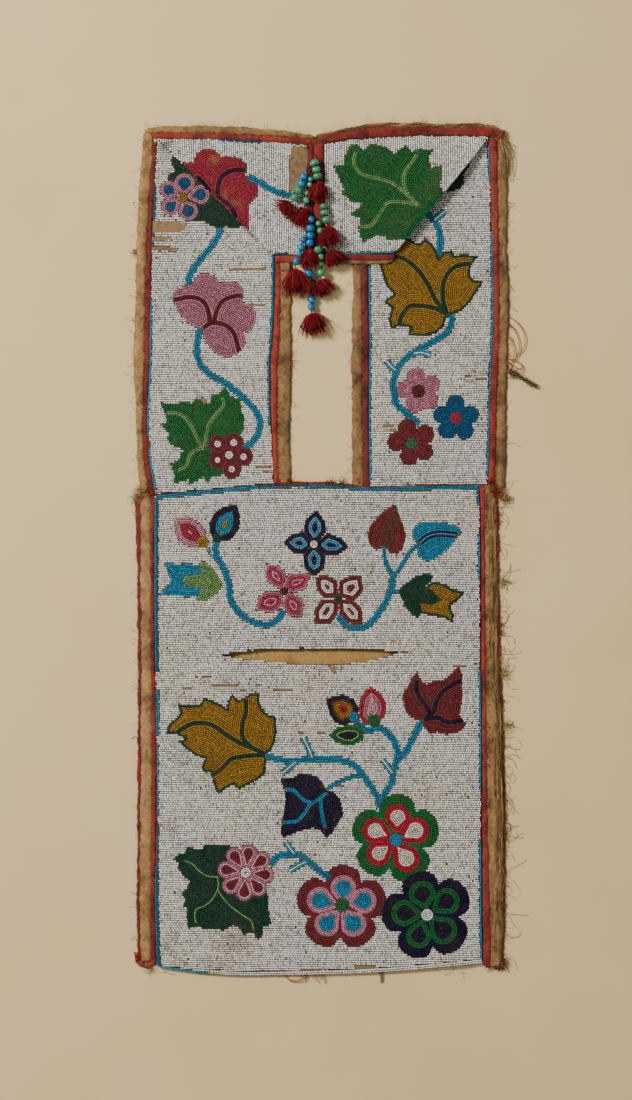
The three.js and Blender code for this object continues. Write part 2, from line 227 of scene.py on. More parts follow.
def slab(name, outline, top, thick, mat, step=4.0, hole=None, bare=(), bare_mat=None):
    """A sheet of cloth with a plan outline: top(p) is its upper face in mm, thick its thickness; closed all round.
    bare: places with a second material."""
    q = np.asarray(outline, float)
    n = max(8, int(np.linalg.norm(np.diff(np.vstack([q, q[:1]]), axis=0), axis=1).sum() / step))
    rim = resample(np.vstack([q, q[:1]]), n + 1)[:-1]
    pts = [tuple(p) for p in rim]
    loops = [list(range(len(pts)))]
    if hole is not None:
        h = resample(np.vstack([hole, hole[:1]]), max(24, int(2 * len(hole))) + 1)[:-1]
        loops.append(list(range(len(pts), len(pts) + len(h))))
        pts += [tuple(p) for p in h]
    for b in bare:
        b = np.asarray(b, float)
        h = resample(np.vstack([b, b[:1]]), max(25, int(np.linalg.norm(np.diff(b, axis=0), axis=1).sum() / 2.5)))[:-1]
        loops.append(list(range(len(pts), len(pts) + len(h))))
        pts += [tuple(p) for p in h]
    lo, hi = q.min(0), q.max(0)
    gx, gy = np.meshgrid(np.arange(lo[0] + step / 2, hi[0], step), np.arange(lo[1] + step / 2, hi[1], step))
    g = np.stack([gx.ravel(), gy.ravel()], -1)
    keep = poly_sd(g, rim) > 0.55 * step
    if hole is not None:
        keep &= poly_sd(g, hole) < -0.55 * step
    pts += [tuple(p) for p in g[keep]]
    edges = [(a, l[(i + 1) % len(l)]) for l in loops for i, a in enumerate(l)]
    v, _, f, _, _, _ = delaunay_2d_cdt([Vector(p) for p in pts], edges, [], 1, 1e-5)
    v = np.array([(p.x, p.y) for p in v])
    f = np.array(f, int)
    mid = v[f].mean(1)
    ok = inside(mid, rim)
    if hole is not None:
        ok &= ~inside(mid, hole)
    f = f[ok]
    a = xy(v)
    e1, e2 = a[f[:, 1]] - a[f[:, 0]], a[f[:, 2]] - a[f[:, 0]]
    flip = (e1[:, 0] * e2[:, 1] - e1[:, 1] * e2[:, 0]) < 0
    f[flip] = f[flip][:, ::-1]
    zt = top(v)
    zb = zt - thick
    nv = len(v)
    verts = np.vstack([np.column_stack([a, zt * MM]), np.column_stack([a, zb * MM])])
    count = {}
    for t in f:
        for i in range(3):
            e = (t[i], t[(i + 1) % 3])
            count[e] = 1
    side = []
    for s, e in count:
        if (e, s) not in count:
            side += [(e, s, s + nv), (e, s + nv, e + nv)]
    faces = np.vstack([f, f[:, ::-1] + nv, np.array(side, int)])
    o = mesh_object(name, verts, faces, mat)
    if len(bare):
        o.data.materials.append(bare_mat)
        m = v[f].mean(1)
        worn = np.zeros(len(m), bool)
        for b in bare:
            worn |= inside(m, b)
        index = np.zeros(len(faces), np.int32)
        index[: len(f)] = worn
        o.data.polygons.foreach_set("material_index", index)
    return o


def strip(name, left, right, z, mat, height=1.0, bottom=0.15, across=7, step=2.0, wander=0.62, seed=1, slack=0.5, grow=0.55, tint=(1, 1, 1), streak=0.14):
    """A sewn strip of cloth between two edges on the plan, swelling a little between them, with worn edges painted
    darker, partly as soil and partly as painted shade where they meet the cloth below, and painted shade in its
    creases; closed below."""
    n = max(6, int(np.linalg.norm(np.diff(np.asarray(left, float), axis=0), axis=1).sum() / step))
    a, b = resample(left, n), resample(right, n)
    w = (b - a) / np.maximum(np.linalg.norm(b - a, axis=1, keepdims=True), 1e-6)
    a, b = a - grow * w, b + grow * w
    u = np.linspace(0, 1, across)
    t = np.arange(n)
    ripple = lambda k: noise(t * 0.13 * step, t * 0 + seed, k) + 0.7 * noise(t * 0.41 * step, t * 0 + seed, k + 40) + 0.4 * noise(t * 0.9 * step, t * 0 + seed, k + 80)
    a = a + wander * np.stack([ripple(3), ripple(4)], -1)
    b = b + wander * np.stack([ripple(5), ripple(6)], -1)
    p = a[:, None] * (1 - u[None, :, None]) + b[:, None] * u[None, :, None]
    base = np.full((n, across), float(z))
    lift = height * np.sqrt(np.clip(1 - (2 * u - 1) ** 2, 0, 1))[None, :] * (1 + 0.25 * noise(t * 0.21, t * 0, seed + 9))[:, None]
    lift = lift + slack * (noise(p[..., 0] * 0.22, p[..., 1] * 0.16, seed + 11) + 0.6 * noise(p[..., 0] * 0.5, p[..., 1] * 0.5, seed + 12))
    edge = np.minimum(u, 1 - u)[None, :] * 2
    top = base + np.where(edge > 0, lift, 0)
    q = xy(p)
    tops = np.concatenate([q, (top * MM)[..., None]], -1).reshape(-1, 3)
    low = np.minimum(bottom, top.min() - 0.2)
    under = np.concatenate([q[:, [0, -1]], np.full((n, 2, 1), low * MM)], -1).reshape(-1, 3)
    verts = np.vstack([tops, under])
    # edges darker: partly soil, partly painted shade where the strip meets the cloth below
    soil_and_edge_shade = 1 - 0.36 * (1 - smooth(edge / 0.45)) * (0.6 + 0.4 * noise(t * 0.31, t * 0, seed + 21))[:, None]
    blotch = 1 + 0.15 * noise(p[..., 0] * 0.13, p[..., 1] * 0.06, seed + 22) + 0.13 * noise(p[..., 0] * 0.45, p[..., 1] * 0.3, seed + 23)
    blotch = blotch * (1 + streak * noise(u[None, :] * (across - 1) * 0.8 + 0 * p[..., 0], (t * step)[:, None] * 0.035 + 0 * p[..., 0], seed + 25))
    # darker patches standing for creases: painted crease shade
    crease_shade = 1 - 0.4 * smooth((noise(p[..., 0] * 0.3, p[..., 1] * 0.22, seed + 24) - 0.4) / 0.4)
    shade = np.clip(soil_and_edge_shade * blotch * crease_shade, 0.3, 1.25).ravel()
    # the lower corners of the sides are painted darker (0.45): painted shade under the strip's edges
    colors = np.concatenate([shade, np.full(2 * n, 0.45)])[:, None] * np.asarray(tint, float)[None]
    k = n * across
    faces = []
    for i in range(n - 1):
        for j in range(across - 1):
            c = i * across + j
            faces.append((c, c + 1, c + across + 1, c + across))
        o = k + 2 * i
        faces.append((o + 1, o, o + 2, o + 3))
        faces.append((i * across, (i + 1) * across, o + 2, o))
        faces.append(((i + 1) * across + across - 1, i * across + across - 1, o + 1, o + 3))
    for i, turn in ((0, 1), (n - 1, -1)):
        f = [i * across + j for j in range(across)] + [k + 2 * i + 1, k + 2 * i]
        faces.append(tuple(f[::-turn]))
    # plan runs downwards, so faces are turned to look out
    side = b[n // 2] - a[n // 2]
    d = a[min(n // 2 + 2, n - 1)] - a[n // 2 - 2]
    if side[0] * d[1] - side[1] * d[0] > 0:
        faces = [f[::-1] for f in faces]
    return mesh_object(name, verts, faces, mat, True, colors)


def tubes(paths, radii, sides=3):
    """Many thin round strands of equal point count: paths (n, m, 3) in metres. Closed ends."""
    p = np.asarray(paths, float)
    n, m, _ = p.shape
    r = np.broadcast_to(np.asarray(radii, float), (n, m)) if np.ndim(radii) else np.full((n, m), float(radii))
    d = np.gradient(p, axis=1)
    d /= np.maximum(np.linalg.norm(d, axis=2, keepdims=True), 1e-12)
    ref = np.where(np.abs(d[:, :1, 2:]) < 0.9, np.array([0, 0, 1.0]), np.array([1.0, 0, 0]))
    ref = np.repeat(ref, m, 1)
    s = np.cross(d, ref)
    s /= np.maximum(np.linalg.norm(s, axis=2, keepdims=True), 1e-9)
    t = np.cross(s, d)
    ang = 2 * np.pi * np.arange(sides) / sides
    ring = p[:, :, None] + r[:, :, None, None] * (np.cos(ang)[None, None, :, None] * s[:, :, None] + np.sin(ang)[None, None, :, None] * t[:, :, None])
    verts = ring.reshape(-1, 3)
    base = (np.arange(n) * m * sides)[:, None, None]
    i = np.arange(m - 1)[None, :, None] * sides
    j = np.arange(sides)[None, None, :]
    k = (np.arange(sides)[None, None, :] + 1) % sides
    a, b = base + i + j, base + i + k
    c, e = a + sides, b + sides
    faces = [np.stack([a, c, b], -1).reshape(-1, 3), np.stack([b, c, e], -1).reshape(-1, 3)]
    for q in range(1, sides - 1):
        o = np.arange(n) * m * sides
        faces.append(np.stack([o, o + q, o + q + 1], -1))
        o = o + (m - 1) * sides
        faces.append(np.stack([o, o + q + 1, o + q], -1))
    return verts, np.vstack(faces)


# ------------------------------------------------------------------ materials
def material(name, base, rough=0.8):
    m = bpy.data.materials.new(name)
    m.use_nodes = True
    bsdf = m.node_tree.nodes["Principled BSDF"]
    bsdf.inputs["Base Color"].default_value = (*map(float, base), 1)
    bsdf.inputs["Roughness"].default_value = rough
    return m, m.node_tree, bsdf


def node(t, kind, **inputs):
    n = t.nodes.new(kind)
    for k, v in inputs.items():
        n.inputs[k.replace("_", " ")].default_value = v
    return n


def ramp(t, factor, *stops):
    n = t.nodes.new("ShaderNodeValToRGB")
    while len(n.color_ramp.elements) < len(stops):
        n.color_ramp.elements.new(0.5)
    for e, (pos, col) in zip(n.color_ramp.elements, stops):
        e.position = pos
        e.color = (*map(float, col), 1)
    t.links.new(factor, n.inputs["Fac"])
    return n.outputs["Color"]


def cloth_material(name, dark, light, stain, weave=1400.0, rough=0.9, worn=0.35, bump=0.5, stretch=(1, 1, 1), tinted=False):
    """Woven cloth: threads both ways, uneven dye and stains; tinted: darkened by the piece's colour layer."""
    m, t, b = material(name, light, rough)
    co = t.nodes.new("ShaderNodeTexCoord")
    mp = t.nodes.new("ShaderNodeMapping")
    mp.inputs["Scale"].default_value = stretch
    t.links.new(co.outputs["Object"], mp.inputs["Vector"])
    vec = mp.outputs["Vector"]
    big = node(t, "ShaderNodeTexNoise", Scale=38.0, Detail=5.0, Roughness=0.62)
    fine = node(t, "ShaderNodeTexNoise", Scale=420.0, Detail=3.0, Roughness=0.6)
    wx = node(t, "ShaderNodeTexWave", Scale=weave / 6.283, Distortion=1.2, Detail=1.0)
    wy = node(t, "ShaderNodeTexWave", Scale=weave / 6.283, Distortion=1.2, Detail=1.0)
    wy.bands_direction = "Y"
    for n in (big, fine, wx, wy):
        t.links.new(vec, n.inputs["Vector"])
    mul = t.nodes.new("ShaderNodeMath")
    mul.operation = "MULTIPLY"
    t.links.new(wx.outputs["Fac"], mul.inputs[0])
    t.links.new(wy.outputs["Fac"], mul.inputs[1])
    dye = ramp(t, big.outputs["Fac"], (0.30, dark), (0.52, light), (0.72, stain))
    tooth = ramp(t, fine.outputs["Fac"], (0.3, (0.62, 0.62, 0.62)), (0.7, (1.15, 1.15, 1.15)))
    mix = t.nodes.new("ShaderNodeMix")
    mix.data_type = "RGBA"
    mix.blend_type = "MULTIPLY"
    mix.inputs["Factor"].default_value = 0.8
    t.links.new(dye, mix.inputs["A"])
    t.links.new(tooth, mix.inputs["B"])
    out = mix.outputs["Result"]
    if tinted:
        c = t.nodes.new("ShaderNodeVertexColor")
        c.layer_name = "Col"
        m2 = t.nodes.new("ShaderNodeMix")
        m2.data_type = "RGBA"
        m2.blend_type = "MULTIPLY"
        m2.inputs["Factor"].default_value = 1.0
        t.links.new(out, m2.inputs["A"])
        t.links.new(c.outputs["Color"], m2.inputs["B"])
        out = m2.outputs["Result"]
    t.links.new(out, b.inputs["Base Color"])
    add = t.nodes.new("ShaderNodeMath")
    add.operation = "ADD"
    t.links.new(mul.outputs[0], add.inputs[0])
    t.links.new(fine.outputs["Fac"], add.inputs[1])
    bp = node(t, "ShaderNodeBump", Strength=bump, Distance=0.0006)
    t.links.new(add.outputs[0], bp.inputs["Height"])
    t.links.new(bp.outputs["Normal"], b.inputs["Normal"])
    b.inputs["Sheen Weight"].default_value = 0.15
    b.inputs["Specular IOR Level"].default_value = 0.15
    return m


def painted_material(name, rough, spec=0.5, sheen=0.0, coat=0.0):
    """Colour from the piece's own colour layer."""
    m, t, b = material(name, (0.8, 0.8, 0.8), rough)
    c = t.nodes.new("ShaderNodeVertexColor")
    c.layer_name = "Col"
    t.links.new(c.outputs["Color"], b.inputs["Base Color"])
    b.inputs["Specular IOR Level"].default_value = spec
    b.inputs["Sheen Weight"].default_value = sheen
    b.inputs["Coat Weight"].default_value = coat
    return m


M_BEAD = painted_material("seed_bead_glass", 0.34, 0.12)
# the cotton under the beads is painted dark brown, far darker than the tan bare cotton it really is: painted shade in
# the gaps between beads
M_SHADED_GROUND = cloth_material("ground_cotton_painted_shade", srgb(56, 47, 36), srgb(76, 64, 48), srgb(66, 54, 40))
M_BARE = cloth_material("bare_cotton", srgb(100, 78, 50), srgb(140, 112, 76), srgb(118, 92, 60), weave=2600, bump=0.7)
M_TAN = cloth_material("tan_tape", srgb(92, 67, 37), srgb(160, 121, 75), srgb(128, 98, 59), weave=1900, tinted=True)
M_TANDARK = cloth_material("tan_tape_worn", srgb(68, 50, 29), srgb(134, 102, 63), srgb(98, 80, 47), weave=1900, tinted=True)
M_LINING = cloth_material("pocket_cotton", srgb(140, 104, 55), srgb(162, 125, 73), srgb(150, 114, 64), weave=2400, bump=0.3)
M_RED = cloth_material("red_wool_cloth", srgb(88, 22, 20), srgb(150, 52, 40), srgb(126, 62, 46), weave=1500, bump=0.8, tinted=True)
M_REDDARK = cloth_material("dark_red_wool_cloth", srgb(66, 18, 18), srgb(118, 40, 34), srgb(98, 48, 38), weave=1500, bump=0.8, tinted=True)
M_BACK = cloth_material("back_cotton", srgb(128, 106, 74), srgb(160, 136, 98), srgb(142, 118, 82), weave=1500)
M_WOOL = painted_material("tassel_wool", 0.95, 0.05)
M_FRAY = painted_material("frayed_thread", 0.92, 0.1)
M_TWINE = painted_material("twisted_twine", 0.88, 0.12)


def glass_material(name, deep, light):
    """Opaque drawn glass: streaks round the bead and a clear gloss."""
    m, t, b = material(name, light, 0.12)
    co = t.nodes.new("ShaderNodeTexCoord")
    n = node(t, "ShaderNodeTexNoise", Scale=260.0, Detail=3.0, Roughness=0.55, Distortion=0.4)
    t.links.new(co.outputs["Object"], n.inputs["Vector"])
    t.links.new(ramp(t, n.outputs["Fac"], (0.28, deep), (0.62, light)), b.inputs["Base Color"])
    r = node(t, "ShaderNodeTexNoise", Scale=700.0, Detail=2.0)
    t.links.new(co.outputs["Object"], r.inputs["Vector"])
    mr = t.nodes.new("ShaderNodeMapRange")
    mr.inputs["To Min"].default_value = 0.08
    mr.inputs["To Max"].default_value = 0.3
    t.links.new(r.outputs["Fac"], mr.inputs["Value"])
    t.links.new(mr.outputs["Result"], b.inputs["Roughness"])
    b.inputs["Coat Weight"].default_value = 0.12
    b.inputs["Coat Roughness"].default_value = 0.06
    b.inputs["Subsurface Weight"].default_value = 0.0
    return m


GLASS = {
    "green": glass_material("glass_green", srgb(22, 84, 52), srgb(62, 142, 98)),
    "teal": glass_material("glass_teal", srgb(20, 88, 96), srgb(52, 132, 138)),
    "blue": glass_material("glass_blue", srgb(0, 66, 108), srgb(0, 114, 162)),
    "navy": glass_material("glass_navy", srgb(2, 6, 11), srgb(4, 18, 28)),
}

fm, ft, fb = material("floor_paper", srgb(208, 183, 132), 0.95)
fco = ft.nodes.new("ShaderNodeTexCoord")
fn = node(ft, "ShaderNodeTexNoise", Scale=6.0, Detail=4.0)
ft.links.new(fco.outputs["Object"], fn.inputs["Vector"])
ft.links.new(ramp(ft, fn.outputs["Fac"], (0.3, srgb(205, 180, 129)), (0.7, srgb(210, 186, 136))), fb.inputs["Base Color"])
fb.inputs["Specular IOR Level"].default_value = 0.1
floor = mesh_object("floor", [(-6, -6, -0.0004), (6, -6, -0.0004), (6, 6, -0.0004), (-6, 6, -0.0004)], [(0, 1, 2, 3)], fm, False, uv=False)

# ------------------------------------------------------------------ outlines
leftOuter = [(157.4, 139), (155.6, 160), (154.2, 184), (151.7, 248), (150.4, 309), (149.4, 370), (147.2, 424), (150, 464), (154.6, 493.6)]
leftInner = [(275.2, 254.5), (275.2, 262), (274.6, 300), (272.4, 344), (270.4, 364), (271, 410), (272.5, 450), (273.5, 483.4)]
leftTurn = [(157.4, 139), (219, 138.5), (283, 142.5), (307.6, 144.6), (307.4, 254.5), (273.4, 254.5)]
leftOuterEdge = [(148, 129), (144.6, 134), (141.5, 158), (140, 181), (138.2, 217), (137, 250), (136.4, 280), (135.4, 317), (134, 354), (136, 410), (138, 464), (140.5, 492.5)]
leftTopEdge = [(145.5, 131.5), (148, 129), (162, 127), (206.5, 126), (245, 127.6), (283, 131.2), (309, 134.6)]
leftInnerEdge = [(290.6, 262), (290.7, 286), (290.8, 370), (289.4, 424), (290, 482)]
rightOuter = [(488.4, 137), (490.2, 165), (491, 194), (492.4, 250), (493.6, 320), (490.4, 394), (488.8, 461), (488, 484.2)]
rightInner = [(368.5, 252), (368.5, 264), (368.8, 300), (369.4, 340), (368.9, 420), (369.6, 486.4)]
rightTurn = [(488.4, 137), (422, 135.3), (352, 139), (324, 144), (323, 253), (394.5, 252.5)]
rightOuterEdge = [(504, 130.5), (507.6, 160), (507.8, 194), (506.5, 250), (509, 292), (507.6, 340), (506.2, 395), (506, 434), (505, 484)]
rightTopEdge = [(316, 135.6), (338, 129.6), (366, 125), (387, 122.8), (400, 125), (417, 122.8), (436, 125), (457, 124), (478.5, 123.4), (495, 126), (505, 131)]
rightInnerEdge = [(353.6, 263), (353.4, 307), (352, 354), (352.8, 407), (352.8, 485)]
pouch = (
    [(154.2, 495.4), (200, 491), (240, 487), (277, 483.8), (330, 483.6), (360, 486.8), (372, 487.6), (420, 486.4), (478.6, 485)]
    + [(480.2, 512), (480.4, 640), (481.4, 732), (481.4, 832), (481.6, 916), (483, 963.5)]
    + [(440, 967.5), (380, 972.6), (310, 975.2), (240, 976), (200, 973.6), (157.6, 967)]
    + [(156.6, 940), (155.4, 900), (156, 850), (157, 800), (156.4, 732), (154.6, 640), (154.2, 560)]
)
slit = [(222, 655.6), (233, 652.4), (262, 649), (300, 648), (350, 648.4), (385, 650), (400, 651.4), (391, 655.4), (372, 660.6), (345, 664), (300, 664.4), (270, 662), (240, 658.8)]
leftDiag = [(158.4, 139), (273.4, 254.5)]
rightDiag = [(488.4, 137), (394.5, 252.5)]


# ------------------------------------------------------------------ heights, in mm
def wave(p, seed, amp=0.3, size=46.0):
    return amp * (noise(p[..., 0] / size, p[..., 1] / size, seed) + 0.45 * noise(p[..., 0] / (0.43 * size), p[..., 1] / (0.43 * size), seed + 1))


def z_front(p):
    """Upper face of the pouch front's cloth."""
    x, y = p[..., 0], p[..., 1]
    side = np.minimum(x - 154.6, 481.6 - x) / 24.0
    low = (974.0 - 0.00016 * (x - 318) ** 2 - y) / 24.0
    high = (y - 485.0) / 150.0
    rise = lambda t: np.sin(0.5 * np.pi * np.clip(t, 0, 1))
    body = rise(side) * rise(low) * rise(high)
    lip = np.exp(-((y - 646.0) / 5.0) ** 2) * smooth((x - 215) / 40) * smooth((408 - x) / 40)
    return 2.8 + 4.7 * body + wave(p, 5, 0.32, 60) * body + 0.55 * lip


def z_limb(p):
    return 1.55 + wave(p, 21, 0.16, 40)


def z_turn_left(p):
    d = line_dist(p, leftDiag)
    return 4.75 + wave(p, 31, 0.18, 40) + 1.0 * np.exp(-((d / 7.0) ** 2))


FOLD_W = 28.0
FOLD_Z = np.array([(0, 6.8), (0.06, 8.6), (0.14, 11.6), (0.28, 15.6), (0.42, 16.2), (0.6, 14.4), (0.8, 12.8), (0.92, 11.2), (1, 9)])
FOLD_A, FOLD_B = np.array(rightDiag[0]), np.array(rightDiag[1])
FOLD_T = (FOLD_B - FOLD_A) / np.linalg.norm(FOLD_B - FOLD_A)
FOLD_IN = np.array([FOLD_T[1], -FOLD_T[0]]) * -1.0


def fold_height(t):
    """Bead tops along the right fold, which stands up off the strap below."""
    return np.interp(t, FOLD_Z[:, 0], FOLD_Z[:, 1])


def z_turn_right(p):
    q = p - FOLD_A
    t = (q @ FOLD_T) / np.linalg.norm(FOLD_B - FOLD_A)
    u = q @ FOLD_IN
    lift = (fold_height(np.clip(t, 0, 1)) - 6.6) * np.cos(0.5 * np.pi * np.clip(u / FOLD_W, 0, 1)) ** 2
    return 4.75 + wave(p, 33, 0.18, 40) + np.maximum(lift, 0) - 0.5 * np.clip(-u, 0, 3) ** 2


# ------------------------------------------------------------------ cloth sheets
# places where the beads are gone
bare_left_limb = [[(151.8, 220.8), (176, 220.4), (188.7, 224.8), (184, 230), (178.5, 232.9), (151.4, 232.6)], [(151.6, 236.9), (171, 236.7), (172, 240.3), (151.4, 240.5)], [(151.2, 246.4), (170, 246.3), (178.5, 249.4), (176, 251.4), (151.2, 250.9)], [(200, 398), (208, 398.2), (206, 403.5), (203, 403.8)]]
bare_left_turn = [[(290.6, 147.6), (297, 145.8), (307.4, 147), (307.4, 163), (305.4, 172), (301.4, 180), (297.6, 187), (293.8, 191.6), (289.8, 191.8), (289.4, 176), (290.2, 160)]]
bare_pouch = [[(353.5, 964.9), (376, 964.6), (374, 968.9), (354.5, 969)], [(329, 666), (338, 666.4), (337, 670), (334, 673), (330.5, 669)]]

# thin gaps between rows
gaps_left_limb = [(225, 266, 268.6), (241, 265, 304.6), (256.6, 270.7, 466.8), (263, 269, 470.8)]
gaps_right_limb = [(460.6, 487.4, 377.7), (375, 396, 429.4), (382, 395, 425.6)]
gaps_pouch = [(298, 326, 731.6), (447.5, 478, 664.9), (400, 424, 653.2), (178, 192, 689.4), (212, 262, 686.4), (240, 294, 689.2), (320, 345, 786.0), (300, 322, 969.6), (196, 212, 677.4)]


def gap_line(x, y, seed):
    return y + 0.8 * noise(x / 9, x * 0, seed + 5)


def gap_cloth(gaps, seed):
    """The bare cloth in the gaps, as outlines."""
    out = []
    for x0, x1, y in gaps:
        x = np.arange(x0 - 0.6, x1 + 0.7, 2.2)
        m = gap_line(x, y, seed)
        out.append(np.vstack([np.column_stack([x, m - 0.95]), np.column_stack([x, m + 0.95])[::-1]]))
    return out


front_cloth = finish_piece(slab("pouch_front_cloth", pouch, z_front, 0.9, M_SHADED_GROUND, 7.0, np.array(slit), bare_pouch + gap_cloth(gaps_pouch, 105), M_BARE), "tan_cloth", "pouch_front")
back_cloth = finish_piece(slab("pouch_back_cloth", pouch, lambda p: 1.25 + 0 * p[..., 0], 1.1, M_BACK, 10.0), "tan_cloth", "pouch_back")
lining_poly = [(163, 641.5), (474, 641.5), (474.6, 958), (440, 961), (310, 969), (240, 969.6), (164, 961)]
lining = finish_piece(slab("pocket_lining_cloth", lining_poly, lambda p: 2.5 + 0.12 * noise(p[..., 0] / 30, p[..., 1] / 30, 8), 0.6, M_LINING, 9.0), "tan_cloth", "pocket_lining")

left_limb_poly = leftOuter[:-1] + [(154.6, 495.4), (200, 492.4), (240, 488.4)] + leftInner[::-1] + [(275.2, 150), (157.6, 139)]
left_cloth = finish_piece(slab("strap_left_cloth", left_limb_poly, z_limb, 1.2, M_SHADED_GROUND, 6.0, None, bare_left_limb + gap_cloth(gaps_left_limb, 101), M_BARE), "tan_cloth", "strap_left")
left_turn_poly = [(160.6, 139.2), (219, 138.7), (283, 142.6), (308.4, 144.6), (308.2, 254.4), (275.6, 254.4)]
left_turn_cloth = finish_piece(slab("strap_left_turn_cloth", left_turn_poly, z_turn_left, 1.3, M_SHADED_GROUND, 5.0, None, bare_left_turn, M_BARE), "tan_cloth")
left_turn_lining_poly = [(274, 142.5), (303, 144), (303, 254.5), (274, 254.5)]
left_turn_lining = finish_piece(slab("strap_left_turn_lining", left_turn_lining_poly, lambda p: 1.3 + 0 * p[..., 0], 1.0, M_BACK, 6.0), "tan_cloth")
right_limb_poly = [(368.5, 142)] + rightInner[:-1] + [(369.6, 488), (420, 487.4), (487.8, 487)] + rightOuter[::-1][1:] + [(487, 137.2), (440, 137.5)]
right_cloth = finish_piece(slab("strap_right_cloth", right_limb_poly, z_limb, 1.2, M_SHADED_GROUND, 6.0, None, gap_cloth(gaps_right_limb, 103), M_BARE), "tan_cloth", "strap_right")
right_turn_poly = [(486.4, 137.3), (422, 135.5), (352, 139.2), (324, 144.2), (323.2, 252.9), (392.6, 252.5)]
right_turn_cloth = finish_piece(slab("strap_right_turn_cloth", right_turn_poly, z_turn_right, 1.3, M_SHADED_GROUND, 4.0), "tan_cloth")
right_turn_lining_poly = [(323.4, 144.4), (369, 139), (369, 252.6), (323, 253)]
right_turn_lining = finish_piece(slab("strap_right_turn_lining", right_turn_lining_poly, lambda p: 1.3 + 0 * p[..., 0], 1.0, M_BACK, 6.0), "tan_cloth")


def shell(name, outer, inner, mat):
    """A closed sheet between two grids of points (n, m, 3), in metres."""
    n, m, _ = outer.shape
    i, j = np.meshgrid(np.arange(n - 1), np.arange(m - 1), indexing="ij")
    a = (i * m + j).ravel()
    top = np.stack([a, a + 1, a + m + 1, a + m], -1)
    k = n * m
    rim = [(r, 0) for r in range(n)] + [(n - 1, c) for c in range(1, m)] + [(r, m - 1) for r in range(n - 2, -1, -1)] + [(0, c) for c in range(m - 2, 0, -1)]
    rim = np.array([r * m + c for r, c in rim])
    nxt = np.roll(rim, -1)
    side = np.stack([rim, nxt, nxt + k, rim + k], -1)
    faces = np.vstack([top, top[:, ::-1] + k, side])[:, ::-1]
    verts = np.vstack([outer.reshape(-1, 3), inner.reshape(-1, 3)])
    return mesh_object(name, verts, faces, mat)


# the right fold: the cloth comes over its edge and down to the strap below
FOLD_PROFILE = [(1.6, 0.97, -1.9), (0.5, 0.97, -2.5), (0.0, 0.9, -2.6), (0.0, 0.7, -1.6), (0.8, 0.45, -0.6), (2.6, 0.24, 0.0), (5.5, 0.0, 1.9)]


def fold_points(t, off=0.0):
    """Points down the outside of the right fold, at parts t of the way along it."""
    h = fold_height(t)
    rows = []
    for u, k, dz in FOLD_PROFILE:
        q = FOLD_A + (FOLD_B - FOLD_A) * t[:, None] + FOLD_IN * (u + off)
        rows.append(np.column_stack([q, np.maximum(k * h + dz, 1.7)]))
    return np.stack(rows, 1)


def grid3(g):
    return np.concatenate([xy(g[..., :2]), g[..., 2:] * MM], -1)


fold_t = np.linspace(0.03, 0.985, 46)
right_fold = finish_piece(shell("strap_right_fold_cloth", grid3(fold_points(fold_t)), grid3(fold_points(fold_t, 0.9)), M_SHADED_GROUND), "tan_cloth")

# ------------------------------------------------------------------ bindings
bindings = {"pouch": [], "left": [], "right": []}


def bind(group, name, a, b, z, mat, slot_name, *nodes, **kw):
    o = finish_piece(strip(name, a, b, z, mat, **kw), slot_name, *nodes)
    bindings[group].append(o)
    return o


foot = lambda line, x, y: list(line[:-1]) + [(x, y)]
tanRedL = [(151.5, 133), (152.8, 145), (149, 196), (146.6, 248), (145, 286), (144.3, 330), (143.5, 370), (142, 424), (144, 464), (148, 495.8)]
bind("left", "strap_left_outer_tape", foot(leftOuterEdge, 140.7, 496), tanRedL, 1.2, M_TAN, "tan_cloth", "strap_left_outer_binding", height=1.8, seed=1)
bind("left", "strap_left_outer_red", tanRedL[1:], foot(leftOuter, 154.6, 496), 1.0, M_REDDARK, "red_cloth", height=1.2, across=5, seed=2)
topRedL = [(149, 133.4), (162, 132.8), (219, 133.2), (283, 136.4), (313.8, 139)]
bind("left", "strap_left_top_tape", leftTopEdge + [(312.4, 135.6)], topRedL, 3.4, M_TAN, "tan_cloth", height=2.2, seed=3, tint=(0.82, 0.8, 0.78))
bind("left", "strap_left_top_red", topRedL, [(153, 138.8), (162, 138.8), (219, 138.4), (283, 142.3), (313.8, 145.6)], 3.8, M_RED, "red_cloth", height=1.7, across=5, seed=4, tint=(0.92, 0.86, 0.84))
redTanL = [(280.8, 262), (280.6, 300), (279.4, 344), (277.4, 364), (277.6, 410), (278, 450), (279.4, 484.6)]
bind("left", "strap_left_inner_red", [(275.6, 258), (275, 300), (272.8, 344), (270.9, 364), (271.5, 410), (272.9, 450), (274, 484.8)], redTanL, 1.2, M_RED, "red_cloth", "strap_left_inner_binding", height=1.3, across=5, seed=5, tint=(1.05, 1, 0.95))
bind("left", "strap_left_inner_tape", redTanL, foot(leftInnerEdge, 290, 484), 1.2, M_TAN, "tan_cloth", height=1.9, seed=6, tint=(0.74, 0.76, 0.78))
bind("left", "strap_left_hem_red", [(275.8, 255.2), (303, 255.2)], [(275.8, 262), (303, 262)], 3.6, M_RED, "red_cloth", height=2.0, across=5, seed=7)
bind("left", "strap_left_hem_tape", [(280.5, 262), (290.6, 262.6)], [(280.5, 271.6), (290.6, 271.6)], 2.6, M_TAN, "tan_cloth", height=1.4, across=5, seed=8, tint=(0.78, 0.74, 0.7))
bind("left", "strap_left_end_red", [(308.2, 143), (307.9, 262)], [(312.8, 141), (312, 258.6)], 4.2, M_REDDARK, "red_cloth", "strap_left_end_binding", height=2.0, seed=9)

